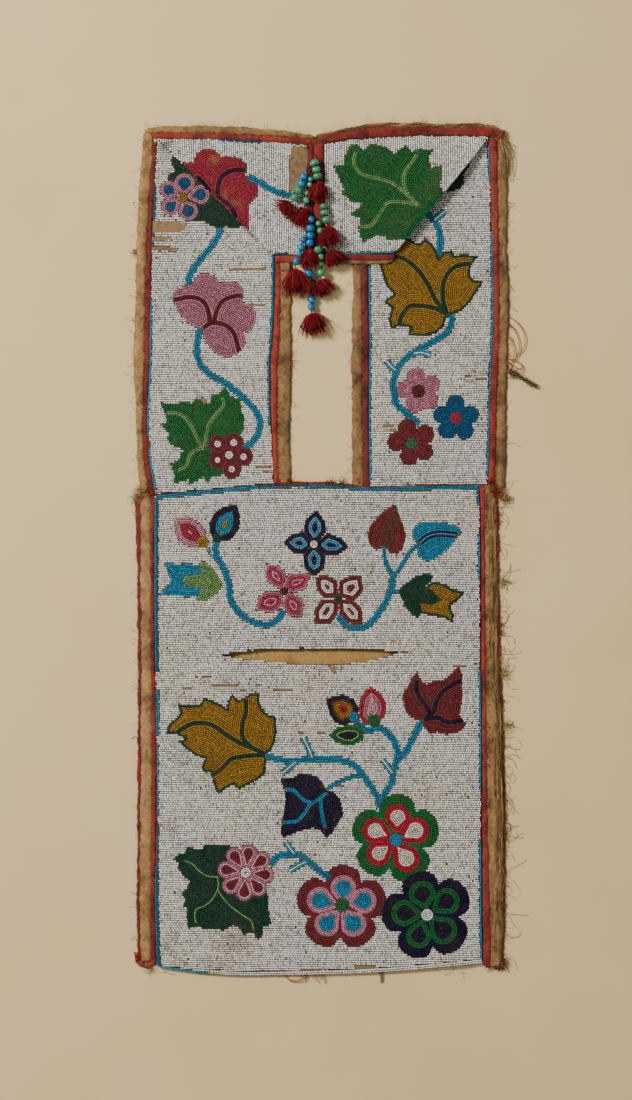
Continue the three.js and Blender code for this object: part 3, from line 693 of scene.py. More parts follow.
redTanR = [(497.3, 138), (497.6, 152), (498.4, 208), (499.8, 292), (499.4, 340), (497.4, 394), (496.2, 434), (495.4, 488)]
bind("right", "strap_right_outer_red", foot(rightOuter, 488, 487.6), redTanR, 1.2, M_RED, "red_cloth", "strap_right_outer_binding", height=1.5, across=5, seed=11, tint=(0.92, 0.98, 1.0))
bind("right", "strap_right_outer_tape", redTanR, foot(rightOuterEdge, 505, 488), 1.0, M_TANDARK, "tan_cloth", height=1.6, seed=12, streak=0.34)
topR = [(p[0], p[1] + 3.4) for p in rightTopEdge]
bind("right", "strap_right_top_tape", rightTopEdge, topR, 2.6, M_TANDARK, "tan_cloth", height=1.6, across=5, seed=13)
bind("right", "strap_right_top_red", [(312.4, 138.4)] + [(p[0], p[1] + 2.2) for p in rightTopEdge[1:]], [(312.4, 146), (324, 143.6), (352, 138.6), (422, 134.9), (489, 136.6), (498, 139)], 3.8, M_RED, "red_cloth", height=2.2, seed=14, tint=(0.64, 0.64, 0.6))
tanRedR = [(361.4, 263), (361.8, 300), (362.6, 340), (362.2, 400), (363, 440), (364, 487.6)]
bind("right", "strap_right_inner_tape", foot(rightInnerEdge, 352.8, 487), tanRedR, 1.2, M_TANDARK, "tan_cloth", "strap_right_inner_binding", height=1.7, seed=15, tint=(1.06, 1.0, 0.98))
bind("right", "strap_right_inner_red", tanRedR, [(368, 263.6), (368.3, 300), (368.9, 340), (368.4, 420), (369.1, 487.6)], 1.2, M_REDDARK, "red_cloth", height=1.3, across=5, seed=16)
bind("right", "strap_right_hem_red", [(323, 253.6), (394.2, 253.2)], [(323, 261.2), (394.2, 260.4)], 3.9, M_RED, "red_cloth", height=1.8, bottom=3.6, across=5, seed=17, tint=(0.58, 0.54, 0.5))
bind("right", "strap_right_hem_tape", [(323, 260.6), (394.2, 259.8)], [(323, 264), (386, 263.8)], 3.7, M_TANDARK, "tan_cloth", height=1.1, bottom=3.4, across=5, seed=18)
bind("right", "strap_right_hem_lining", [(354, 256), (354, 270)], [(367.6, 256), (367.6, 270)], 1.4, M_TANDARK, "tan_cloth", height=1.0, across=5, seed=19)
bind("right", "strap_right_end_red", [(313.4, 141), (313.6, 258.6)], [(323, 143), (322.6, 261)], 4.0, M_RED, "red_cloth", "strap_right_end_binding", height=2.0, seed=20, tint=(0.78, 0.76, 0.76))

bind("pouch", "pouch_left_outer_red", [(135.6, 493.5), (135.4, 517), (137.4, 564), (138, 644), (138, 740), (137.4, 830), (137.2, 900), (137.4, 962)], [(142, 493.5), (141.6, 560), (142.4, 644), (142, 740), (141, 830), (140.6, 900), (141, 962)], 1.0, M_REDDARK, "red_cloth", height=1.3, across=5, seed=21)
bind("pouch", "pouch_left_tape", [(140.5, 493.5), (140.6, 560), (141.2, 644), (141, 740), (140, 830), (139.6, 900), (140, 961)], [(150.5, 494), (151.2, 560), (151.4, 644), (152, 740), (152, 830), (151, 900), (151.4, 961)], 1.8, M_TAN, "tan_cloth", "pouch_left_binding", height=1.9, seed=22, tint=(1.05, 1.05, 1.04))
bind("pouch", "pouch_left_inner_red", [(149.6, 493.6), (150.2, 560), (150.6, 644), (151.2, 740), (151.2, 830), (150, 900), (150.4, 962)], [(154.2, 493.6), (153.9, 560), (154.3, 640), (156.1, 732), (156.4, 800), (155.2, 900), (157, 964)], 1.6, M_RED, "red_cloth", height=1.6, across=5, seed=23, tint=(0.84, 0.8, 0.78))
bind("pouch", "pouch_right_inner_red", [(479.4, 485), (480.7, 512), (480.9, 640), (481.9, 732), (481.9, 832), (482.1, 916), (483.5, 966)], [(486, 485), (485.6, 560), (485.9, 640), (487, 732), (488, 832), (489.6, 890), (491, 916), (491.5, 967)], 1.6, M_RED, "red_cloth", "pouch_right_binding", height=1.7, across=5, seed=24, tint=(0.9, 0.92, 0.92))
bind("pouch", "pouch_right_tape", [(484.8, 485), (484.8, 560), (485, 640), (486, 732), (487.2, 832), (488.8, 890), (490, 916), (490.4, 967)], [(495, 485), (497.2, 540), (497.6, 600), (497.9, 640), (501.4, 732), (503.4, 832), (503.4, 916), (502, 968)], 1.4, M_TANDARK, "tan_cloth", height=2.0, across=9, seed=25, streak=0.42, tint=(1.12, 1.1, 1.06))
bind("pouch", "pouch_right_outer_red", [(492.6, 485), (494.4, 560), (495, 640), (497.6, 732), (499.4, 832), (499.8, 916), (498.6, 968)], [(495, 485), (498.6, 512), (498.8, 570), (499.6, 640), (503.6, 732), (505.4, 832), (505, 916), (503.4, 968)], 0.9, M_REDDARK, "red_cloth", height=1.0, across=5, seed=26, tint=(1.1, 1.25, 1.2))
bind("pouch", "pouch_left_foot_red", [(138.4, 959), (144, 963.4), (150, 963), (155, 957)], [(137.6, 964), (146, 968.4), (152, 967), (156.6, 963)], 1.4, M_RED, "red_cloth", height=1.8, across=5, step=1.6, seed=27)
bind("pouch", "pouch_left_tag_red", [(134.2, 952.5), (140, 954)], [(135.2, 962.4), (140, 963)], 0.9, M_RED, "red_cloth", height=1.4, across=5, step=1.2, seed=28)
bind("pouch", "pouch_top_red", [(275, 482.4), (330, 482), (352, 484.4)], [(275, 485.2), (330, 484.8), (353, 487.4)], 1.8, M_REDDARK, "red_cloth", height=1.2, across=5, seed=29)

# ------------------------------------------------------------------ seed beads
ROW = 1.98  # between rows of the worked shapes
LOOP = 1.88  # between rows round petals
GROUND_ROW = 2.22  # between rows of the white ground
PITCH = 1.66  # along a thread

PAL = {
    "white": srgb(226, 222, 212),
    "crimson": srgb(160, 39, 63),
    "darkred": srgb(118, 42, 50),
    "red": srgb(176, 28, 55),
    "pink": srgb(178, 112, 134),
    "rose": srgb(184, 78, 110),
    "rosepale": srgb(190, 130, 148),
    "palepink": srgb(204, 154, 166),
    "dkgreen": srgb(8, 64, 49),
    "green": srgb(16, 104, 51),
    "ltgreen": srgb(107, 146, 87),
    "mustard": srgb(155, 116, 32),
    "blue": srgb(9, 128, 161),
    "petal": srgb(0, 84, 124),
    "turq": srgb(9, 134, 167),
    "ltblue": srgb(74, 148, 178),
    "navy": srgb(27, 20, 54),
    "brown": srgb(104, 56, 28),
    "maroon": srgb(92, 24, 34),
    "jade": srgb(44, 108, 76),
    "olive": srgb(80, 66, 42),
    "cream": srgb(206, 196, 176),
    "shell": srgb(216, 203, 192),
}


def teardrop(tip, end, width):
    """A petal's core: pointed at tip, round at end."""
    a, b = np.array(tip, float), np.array(end, float)
    d = b - a
    length = np.linalg.norm(d)
    d /= length
    n = np.array([-d[1], d[0]])
    r = width / 2
    c = max(length - r, 0.35 * length)
    pts = [a]
    for t in np.linspace(-100, 100, 15):
        q = math.radians(t)
        pts.append(a + d * (c + (length - c) * math.cos(q)) + n * r * math.sin(q))
    return np.array(pts)


def disc(c, r, n=14):
    t = 2 * np.pi * np.arange(n) / n
    return np.stack([c[0] + r * np.cos(t), c[1] + r * np.sin(t)], -1)


class Fill:
    """A shape worked in rows that follow its outline and its veins. bands: (rows, colour) from the edge inwards."""

    def __init__(self, outline, bands, veins=(), spots=()):
        self.outline = np.array(outline, float)
        self.bands, self.spots = bands, spots
        self.veins = [(rounded(v, 6), n, c) for v, n, c in veins]
        self.lo, self.hi = self.outline.min(0), self.outline.max(0)

    def sd(self, p):
        return poly_sd(p, self.outline)

    def colour(self, row):
        for n, c in self.bands:
            if n is None or row < n:
                return c
            row -= n
        return self.bands[-1][1]

    def beads(self):
        out = []
        for line, rows, colour in self.veins:
            out += stroke_beads(line, [colour] * rows if isinstance(colour, str) else colour)
        if out:
            p = np.array([(b[0], b[1]) for b in out])
            keep = self.sd(p) > 0.5
            out = [b for b, k in zip(out, keep) if k]

        def field(p):
            f = self.sd(p)
            for line, rows, _ in self.veins:
                f = np.minimum(f, line_dist(p, line) - 0.5 * rows * ROW)
            return f

        for k, loops in contour_rows(field, self.lo - 1, self.hi + 1):
            for pts in loops:
                for b in along(pts):
                    out.append((*b, self.colour(k), k))
        out += fill_gaps(field, self.lo - 1, self.hi + 1, out, lambda x, y: self.colour(int(field(np.array([[x, y]]))[0] / ROW)))
        if self.bands[0][0] is not None and self.veins:
            # outline colour only next to the outline, not next to a vein
            p = np.array([(b[0], b[1]) for b in out])
            d = self.sd(p)
            rim, body = self.bands[0], self.bands[1][1]
            veincols = {c for _, _, c in self.veins if isinstance(c, str)}
            fixed = []
            for b, e in zip(out, d):
                c = b[3]
                if c == rim[1] and c not in veincols and e > rim[0] * ROW:
                    c = body
                elif c == rim[1] and c in veincols and e > rim[0] * ROW:
                    near = min(float(line_dist(np.array([[b[0], b[1]]]), l)[0]) - 0.5 * n * ROW for l, n, _ in self.veins)
                    if near > 0.15:
                        c = body
                fixed.append((b[0], b[1], b[2], c, *b[4:]))
            out = fixed
        return out


class Petals:
    """A flower worked in rows round the cores of its petals. outer: (rows, colour) from the cores outwards."""

    def __init__(self, cores, core, outer, centre=None, notch=0.0):
        self.cores = [np.array(c, float) for c in cores]
        self.notch = notch
        self.core, self.outer, self.centre = core, outer, centre
        self.reach = LOOP * sum(n for n, _ in outer)
        a = np.vstack(self.cores)
        self.lo, self.hi = a.min(0) - self.reach, a.max(0) + self.reach

    def away(self, p):
        d = np.sort([-poly_sd(p, c) for c in self.cores], 0)
        return d[0] + self.notch * np.exp(-(((d[1] - d[0]) / 5.0) ** 2)) * smooth((d[0] - 2.5) / 7.0)

    def sd(self, p):
        d = self.reach - self.away(p)
        if self.centre:
            d = np.maximum(d, self.centre[1] - np.linalg.norm(p - np.array(self.centre[0]), axis=-1))
        return d

    def beads(self):
        out = []
        hole = (lambda p: np.linalg.norm(p - np.array(self.centre[0]), axis=-1) - self.centre[1]) if self.centre else None
        cols = [c for n, c in self.outer for _ in range(n)]

        def outward(p):
            f = self.away(p)
            return f

        for k, loops in contour_rows(outward, self.lo - 1, self.hi + 1, len(cols), LOOP):
            for pts in loops:
                out += [(*b, cols[k], k) for b in along(pts)]

        for k, loops in contour_rows(lambda p: -self.away(p), self.lo - 1, self.hi + 1, 60, LOOP):
            for pts in loops:
                out += [(*b, self.core, k) for b in along(pts)]

        def shade(x, y):
            e = self.away(np.array([[x, y]]))[0]
            return self.core if e < 0 else cols[min(int(e / LOOP), len(cols) - 1)]

        out += fill_gaps(lambda p: np.minimum(self.reach - self.away(p), 8.0 - 0 * p[..., 0]), self.lo - 1, self.hi + 1, out, shade)
        if hole:
            p = np.array([(b[0], b[1]) for b in out])
            keep = hole(p) > 0.6
            out = [b for b, k in zip(out, keep) if k]
            for k, loops in contour_rows(lambda p: -hole(p), np.array(self.centre[0]) - self.centre[1] - 2, np.array(self.centre[0]) + self.centre[1] + 2):
                for pts in loops:
                    out += [(*b, self.centre[2]) for b in along(pts)]
        return out


class Stroke:
    """A stem: rows side by side along a line."""

    def __init__(self, line, rows):
        self.line = rounded(line)
        self.rows = rows
        self.half = 0.5 * len(rows) * ROW
        self.lo, self.hi = self.line.min(0) - self.half, self.line.max(0) + self.half

    def sd(self, p):
        near = line_dist(p, self.line)
        d = self.half - near
        for end, back in ((self.line[0], self.line[1]), (self.line[-1], self.line[-2])):
            out = (p - end) @ ((end - back) / np.linalg.norm(end - back))
            d = np.where((out > 0) & (np.abs(np.linalg.norm(p - end, axis=-1) - near) < 1e-6), np.minimum(d, -out), d)
        return d

    def beads(self):
        return stroke_beads(self.line, self.rows)


def stroke_beads(line, rows):
    q = np.asarray(line, float)
    d = np.gradient(q, axis=0)
    d /= np.maximum(np.linalg.norm(d, axis=1, keepdims=True), 1e-9)
    n = np.stack([-d[:, 1], d[:, 0]], -1)
    out = []
    for i, c in enumerate(rows):
        if c is None:
            continue
        off = (i - 0.5 * (len(rows) - 1)) * ROW
        out += [(*b, c, i) for b in along(q + n * off)]
    return out


def along(pts):
    """Beads threaded along a line: (across, down, heading)."""
    q = np.asarray(pts, float)
    seg = np.linalg.norm(np.diff(q, axis=0), axis=1)
    s = np.concatenate([[0], np.cumsum(seg)])
    total = s[-1]
    if total < 0.6:
        return [(*q.mean(0), 0.0)]
    n = max(1, int(round(total / PITCH)))
    t = (np.arange(n) + 0.5) * total / n
    x, y = np.interp(t, s, q[:, 0]), np.interp(t, s, q[:, 1])
    e = min(0.5, total / 4)
    dx = np.interp(np.minimum(t + e, total), s, q[:, 0]) - np.interp(np.maximum(t - e, 0), s, q[:, 0])
    dy = np.interp(np.minimum(t + e, total), s, q[:, 1]) - np.interp(np.maximum(t - e, 0), s, q[:, 1])
    return list(zip(x, y, np.arctan2(dy, dx)))


def fill_gaps(field, lo, hi, beads, colour, clear=1.36):
    """Extra beads in the places that the rows leave bare, lying along the rows."""
    g = 0.5
    nx, ny = int((hi[0] - lo[0]) / g) + 2, int((hi[1] - lo[1]) / g) + 2
    p = np.stack(np.meshgrid(lo[0] + g * np.arange(nx), lo[1] + g * np.arange(ny)), -1)
    F = field(p)
    free = F > 0.45
    k = int(math.ceil(clear / g))
    offs = [(i, j) for i in range(-k, k + 1) for j in range(-k, k + 1)]

    def block(x, y):
        ci, cj = np.rint((y - lo[1]) / g).astype(int), np.rint((x - lo[0]) / g).astype(int)
        for i, j in offs:
            a, b = ci + i, cj + j
            ok = (a >= 0) & (a < ny) & (b >= 0) & (b < nx)
            ok &= np.hypot(lo[0] + g * b - x, lo[1] + g * a - y) < clear
            free[a[ok], b[ok]] = False

    if beads:
        q = np.array([(b[0], b[1]) for b in beads])
        block(q[:, 0], q[:, 1])
    gy, gx = np.gradient(F)
    out = []
    ii, jj = np.nonzero(free)
    for n in np.argsort(-F[ii, jj], kind="stable"):
        i, j = ii[n], jj[n]
        if not free[i, j]:
            continue
        x, y = p[i, j]
        block(np.array([x]), np.array([y]))
        out.append((x, y, math.atan2(gx[i, j], -gy[i, j]), colour(x, y)))
    return out


# cell corner order: (0,0) (1,0) (1,1) (0,1); sides: 0 low, 1 right, 2 high, 3 left
CASES = {1: [(3, 0)], 2: [(0, 1)], 3: [(3, 1)], 4: [(1, 2)], 5: [(3, 2), (0, 1)], 6: [(0, 2)], 7: [(3, 2)], 8: [(2, 3)], 9: [(2, 0)], 10: [(0, 3), (1, 2)], 11: [(2, 1)], 12: [(1, 3)], 13: [(1, 0)], 14: [(0, 3)]}


def contour_rows(field, lo, hi, most=60, row=None):
    """Lines at half-row depths of a field on the plan, linked end to end: (row, [lines])."""
    g = 0.5
    nx, ny = int((hi[0] - lo[0]) / g) + 2, int((hi[1] - lo[1]) / g) + 2
    xs, ys = lo[0] + g * np.arange(nx), lo[1] + g * np.arange(ny)
    p = np.stack(np.meshgrid(xs, ys), -1)
    F = field(p)
    top = F.max()
    k = 0
    while k < most:
        level = (k + 0.5) * (row or ROW)
        if level >= top:
            # the last, narrow ridge that a full row would leave bare
            break
        yield k, trace(F, level, lo, g)
        k += 1


def trace(F, level, lo, g):
    S = F > level
    c = S[:-1, :-1] * 1 + S[:-1, 1:] * 2 + S[1:, 1:] * 4 + S[1:, :-1] * 8
    iy, ix = np.nonzero((c > 0) & (c < 15))
    ny, nx = F.shape
    links = {}
    points = {}

    def edge(i, j, s):
        # id and point of a cell's side
        if s == 0:
            key, a, b = (0, i, j), (i, j), (i, j + 1)
        elif s == 2:
            key, a, b = (0, i + 1, j), (i + 1, j), (i + 1, j + 1)
        elif s == 3:
            key, a, b = (1, i, j), (i, j), (i + 1, j)
        else:
            key, a, b = (1, i, j + 1), (i, j + 1), (i + 1, j + 1)
        if key not in points:
            fa, fb = F[a], F[b]
            t = (level - fa) / (fb - fa) if fb != fa else 0.5
            points[key] = (lo[0] + g * (a[1] + t * (b[1] - a[1])), lo[1] + g * (a[0] + t * (b[0] - a[0])))
        return key

    for i, j in zip(iy.tolist(), ix.tolist()):
        for s, e in CASES[int(c[i, j])]:
            a, b = edge(i, j, s), edge(i, j, e)
            links.setdefault(a, []).append(b)
            links.setdefault(b, []).append(a)
    lines = []
    left = dict.fromkeys(links)
    ends = [k for k in links if len(links[k]) == 1]
    for start in ends + list(links):
        if start not in left:
            continue
        line = [start]
        del left[start]
        here = start
        while True:
            nxt = next((q for q in links[here] if q in left), None)
            if nxt is None:
                break
            line.append(nxt)
            del left[nxt]
            here = nxt
        if len(line) > 2 and line[0] in links[line[-1]]:
            line.append(line[0])
        if len(line) > 1:
            lines.append([points[q] for q in line])
    return lines


# ---- the worked shapes, on each part of the bag
BLUE3 = ["blue", "blue", "blue"]
BLUE2 = ["blue", "blue"]
SPROUT = ["blue", "white", "blue"]

left_turn_items = [
    Fill([(184, 162), (193.4, 164), (193.8, 159.5), (197.6, 153.2), (203.3, 150), (209.7, 149.3), (215.5, 151.3), (220.6, 157), (227, 156.4), (234.6, 157), (241.6, 159.5), (246, 164.6), (246.7, 170.4), (244.8, 176), (251.2, 177.7), (256.3, 181.2), (258.6, 187.6), (258.2, 195.3), (254.4, 199.7), (249.9, 202.9), (248.6, 208), (249.3, 214.4), (248.8, 231), (236, 222), (184, 168)],
         [(None, "crimson")],
         [([(218, 195), (218.6, 185), (221.8, 177.4), (228.2, 172.3), (235.9, 170.1), (244.5, 170.1)], 2, "navy"),
          ([(198, 177.4), (204, 183.8), (209.5, 190.6)], 2, "navy"),
          ([(218.6, 196), (227, 203), (232, 208), (236, 216)], 2, "navy")]),
    Stroke([(248, 177.4), (257.6, 181.2), (267.8, 187.6), (280.5, 193.3), (294, 196.2)], BLUE3),
]
left_limb_items = [
    Stroke([(220.6, 224), (219.9, 232.2), (214.2, 242.4), (205.3, 253.9), (195, 266.7), (190, 274.3), (188.4, 285.5)], BLUE3),
    Fill([(172, 157), (177.2, 155), (183.6, 160.8), (191, 166), (256, 233), (243.5, 225.2), (232.7, 228.4), (227, 225.9), (216.7, 227.8), (209, 224), (202.7, 220), (195, 221.4), (190, 219.5), (185, 200), (168.3, 181.2), (167, 177.4), (169.5, 174.2), (175.3, 171.7), (174, 167.2), (171.5, 163.4)], [(None, "dkgreen")], [([(197, 179), (206, 187.5)], 3, "brown")]),
    Petals([teardrop((184, 191), (185, 177), 13), teardrop((175, 193), (164.4, 187.3), 10.4), teardrop((176.5, 201.5), (166.6, 210), 10.4), teardrop((185, 204), (190.8, 216), 12.4), teardrop((191.5, 196), (206, 193.3), 11.6)], "petal", [(1, "pink"), (1, "rosepale")], ((182.9, 197.2), 4.6, "mustard")),
    Stroke([(200.3, 328), (197.6, 340.9), (197, 353), (201, 365), (210.4, 374.4), (226.4, 383.8), (241.2, 395.8), (253.2, 407.9), (259.9, 419.9), (258.6, 433.3), (251.9, 442.7), (242, 449)], BLUE3),
    Fill([(173.4, 294.7), (177.2, 288.4), (184.8, 286.5), (192.5, 284.5), (195, 278.2), (201.4, 273.7), (209, 273.7), (214.8, 276.3), (219.3, 283.3), (226.9, 282), (235.9, 282.6), (241.6, 287), (243.3, 293.5), (242.5, 298), (241.4, 302), (249.2, 304.7), (255.3, 311.4), (255.8, 319.5), (252.6, 328.2), (243.6, 333.5), (245.8, 340.9), (243.9, 347.6), (237.2, 354.3), (229.1, 357), (219.8, 355.6), (210.4, 347.6), (204.3, 338.2), (202.3, 328.8), (194.3, 326.2), (186.3, 320.8), (178.2, 311.4), (172.9, 300.7)],
         [(None, "pink")],
         [([(209.6, 323), (209, 314.1), (205, 303.4), (197, 298), (186.3, 297.4), (174.2, 300)], 2, "maroon"),
          ([(211, 323), (214.4, 319.5), (217.1, 310), (222.4, 301.4), (231.8, 296.7), (241.2, 295.4)], 2, "maroon"),
          ([(204, 327.5), (209.6, 323.6), (215.7, 322.8), (226.4, 325.5), (233.8, 332.9), (237.2, 343.6), (239.2, 351.6)], 2, "maroon")]),
    Fill([(161.5, 402.5), (168.8, 403.9), (176.9, 404.5), (180.9, 401.2), (191.6, 403.2), (197, 397.8), (205, 403.2), (210.4, 403.9), (212.4, 394.5), (217.7, 395.8), (224.4, 387.1), (227.8, 389.8), (229.8, 396.5), (240.5, 399.8), (241.2, 409.2), (243.9, 417.3), (243.9, 428), (239.8, 434.7), (230, 452), (223.8, 472.2), (221.1, 475.5), (211.7, 476.2), (207.7, 483.6), (203.7, 476.2), (189.6, 484.9), (188.9, 478.9), (174.2, 483.6), (174.9, 473.5), (170.9, 464.2), (178.2, 461.5), (183.6, 449.4), (172.9, 445.4), (166.2, 438.7), (170.2, 434.7), (161.5, 424.6), (168.2, 422), (164.8, 411.9)],
         [(None, "green")],
         [([(203.7, 448.1), (199.7, 442.7), (193, 429.3), (186.3, 418.6), (176.9, 413.2), (167.5, 413.2)], 2, "ltgreen"),
          ([(204.4, 447), (206.4, 436), (209, 424), (217.1, 413.2), (223.8, 405.2), (222.4, 397.2)], 2, "ltgreen"),
          ([(203.7, 448.4), (197, 449.4), (190.3, 454.8), (186.3, 465.5), (178.2, 470.2)], 2, "ltgreen")]),
    Petals([disc((217.7, 444), 3.5), disc((233.8, 442.7), 3.7), disc((243.6, 456.8), 3.4), disc((231.8, 469.2), 3.5), disc((217.7, 460.1), 3.0), disc((229.1, 455), 4.1)], "white", [(3, "darkred")]),
]
right_turn_items = [
    Fill([(333.9, 165.8), (344.4, 165), (345.4, 156.3), (350.7, 146.5), (355.6, 143.4), (360.5, 147.9), (364.7, 150.7), (367.5, 146.2), (371.7, 144.8), (380.2, 145.8), (388.6, 148.6), (394.2, 154.6), (399.8, 149.3), (406.8, 145.8), (411.3, 151.8), (419.4, 150), (433.5, 149.7), (429.3, 156.3), (429.5, 163.3), (430.7, 169.6), (434.9, 166.8), (441.2, 166.4), (440.5, 188.6), (441.6, 194), (436.4, 206.4), (430.2, 213.6), (424.2, 220.8), (419.2, 227.2), (413.6, 234.6), (406.6, 239.2), (397, 239.8), (385.8, 240.5), (385.8, 235.6), (376, 235.6), (369, 239), (363.3, 241.9), (359.4, 233.5), (359.4, 226.5), (361.2, 218), (351.4, 214.5), (359.1, 208.2), (363.3, 203.3), (352, 201.9), (342.3, 192.8), (345, 190), (339.5, 178.7)],
         [(None, "green")],
         [([(418.7, 206.1), (408.2, 195.6), (394.2, 184.4), (380.2, 178.8), (366.1, 175.9), (357.7, 170.3), (353.8, 161.9), (355.6, 152.1)], 2, "ltgreen"),
          ([(408, 194), (403.7, 183), (405.4, 171.7), (412.4, 161.9), (416.6, 154.9)], 2, "ltgreen"),
          ([(417, 205), (401.2, 201.9), (388.6, 202.6), (381.6, 211), (374.5, 222.2), (368.9, 226.2), (360.5, 226.5)], 2, "ltgreen")]),
    Stroke([(324, 253.6), (394, 252.6)], ["blue"]),
]
right_limb_items = [
    Stroke([(418, 208), (420.8, 210.3), (429.3, 215.2), (435.6, 222.2), (439.8, 232), (440.5, 244.7), (438.4, 257)], BLUE3),
    Stroke([(434.6, 219.6), (445.4, 211)], SPROUT),
    Fill([(471, 162.6), (463.6, 173), (464, 181.6), (460, 188.2), (448, 191), (445, 185), (457, 170)], [(None, "dkgreen")]),
    Stroke([(450.6, 313), (451.9, 322.8), (445.9, 333.5), (431.2, 342.9), (416.4, 350.9), (403, 361.6), (395.7, 373.7), (393.7, 387), (396.3, 403.1), (405.7, 412.5), (420, 423.5)], BLUE3),
    Stroke([(414, 353.2), (422, 352.6), (430.5, 355.2)], SPROUT),
    Stroke([(395.8, 370), (391, 366), (387, 361)], SPROUT),
    Fill([(392, 248), (406.8, 237), (415.2, 242.6), (420.8, 243.3), (425, 238.4), (432.1, 244), (437, 251.7), (439.1, 258.7), (443.3, 252.4), (451.7, 250.3), (453.8, 255.9), (464.3, 254.5), (477.7, 256.6), (472.8, 262.9), (469.9, 270), (469.9, 276.3), (474.2, 280.5), (483.3, 281.2), (477, 291), (470, 302.2), (461.5, 310.6), (451.7, 314.2), (448.2, 316.3), (445.9, 317.4), (443.9, 325.4), (436.5, 332.8), (424.5, 336.2), (408.4, 335.5), (411.1, 327.5), (400.4, 325.4), (391, 328.8), (389, 318.7), (392.3, 308), (384.4, 301.5), (394.2, 293.8), (387.2, 286.8), (383, 274.2), (379, 262)],
         [(1, "dkgreen"), (None, "mustard")],
         [([(447.2, 313), (436.3, 300.8), (427.9, 284), (418, 270), (405.4, 259.4), (394.2, 255.9)], 2, "dkgreen"),
          ([(446, 310), (443.3, 300), (443.3, 285.4), (447.5, 274.2), (457.3, 265.7), (471.4, 263.6)], 2, "dkgreen"),
          ([(446.4, 313.6), (433.5, 307.8), (419.4, 305.7), (409.6, 306.4), (402.6, 314.8), (399.1, 324.7)], 2, "dkgreen")]),
    Petals([teardrop((417.6, 384), (416.6, 375.5), 4), teardrop((424, 388), (432.5, 383.5), 4), teardrop((423.5, 396), (430, 401.5), 4), teardrop((417, 397), (414.8, 405), 4), teardrop((411.5, 390.5), (404.8, 389), 4)], "pink", [(4, "pink")], ((418.4, 391.1), 6.2, "maroon"), 1.1),
    Petals([teardrop((455.9, 411), (455.9, 403), 4), teardrop((463, 416), (471.5, 414.6), 4), teardrop((460.5, 424), (465.5, 431.5), 4), teardrop((451.5, 424), (447, 430.8), 4), teardrop((449, 416), (441, 414.6), 4)], "petal", [(4, "petal")], ((455.9, 417.9), 5.8, "crimson"), 1.1),
    Petals([teardrop((409.8, 436), (407.2, 426.6), 4), teardrop((418, 439.5), (426.4, 433.6), 4), teardrop((418, 448), (425.4, 452), 4), teardrop((410.6, 450.5), (409.4, 457.8), 4), teardrop((404, 442.6), (395.2, 441.4), 4)], "darkred", [(4, "darkred")], ((411.7, 443.3), 5.4, "jade"), 1.1),
]


def widen(points, a, b, k):
    """A petal made broader across the line from a to b."""
    q, a = np.array(points, float), np.array(a, float)
    d = (np.array(b, float) - a) / np.linalg.norm(np.array(b, float) - a)
    n = np.array([-d[1], d[0]])
    return q + ((k - 1) * ((q - a) @ n))[:, None] * n


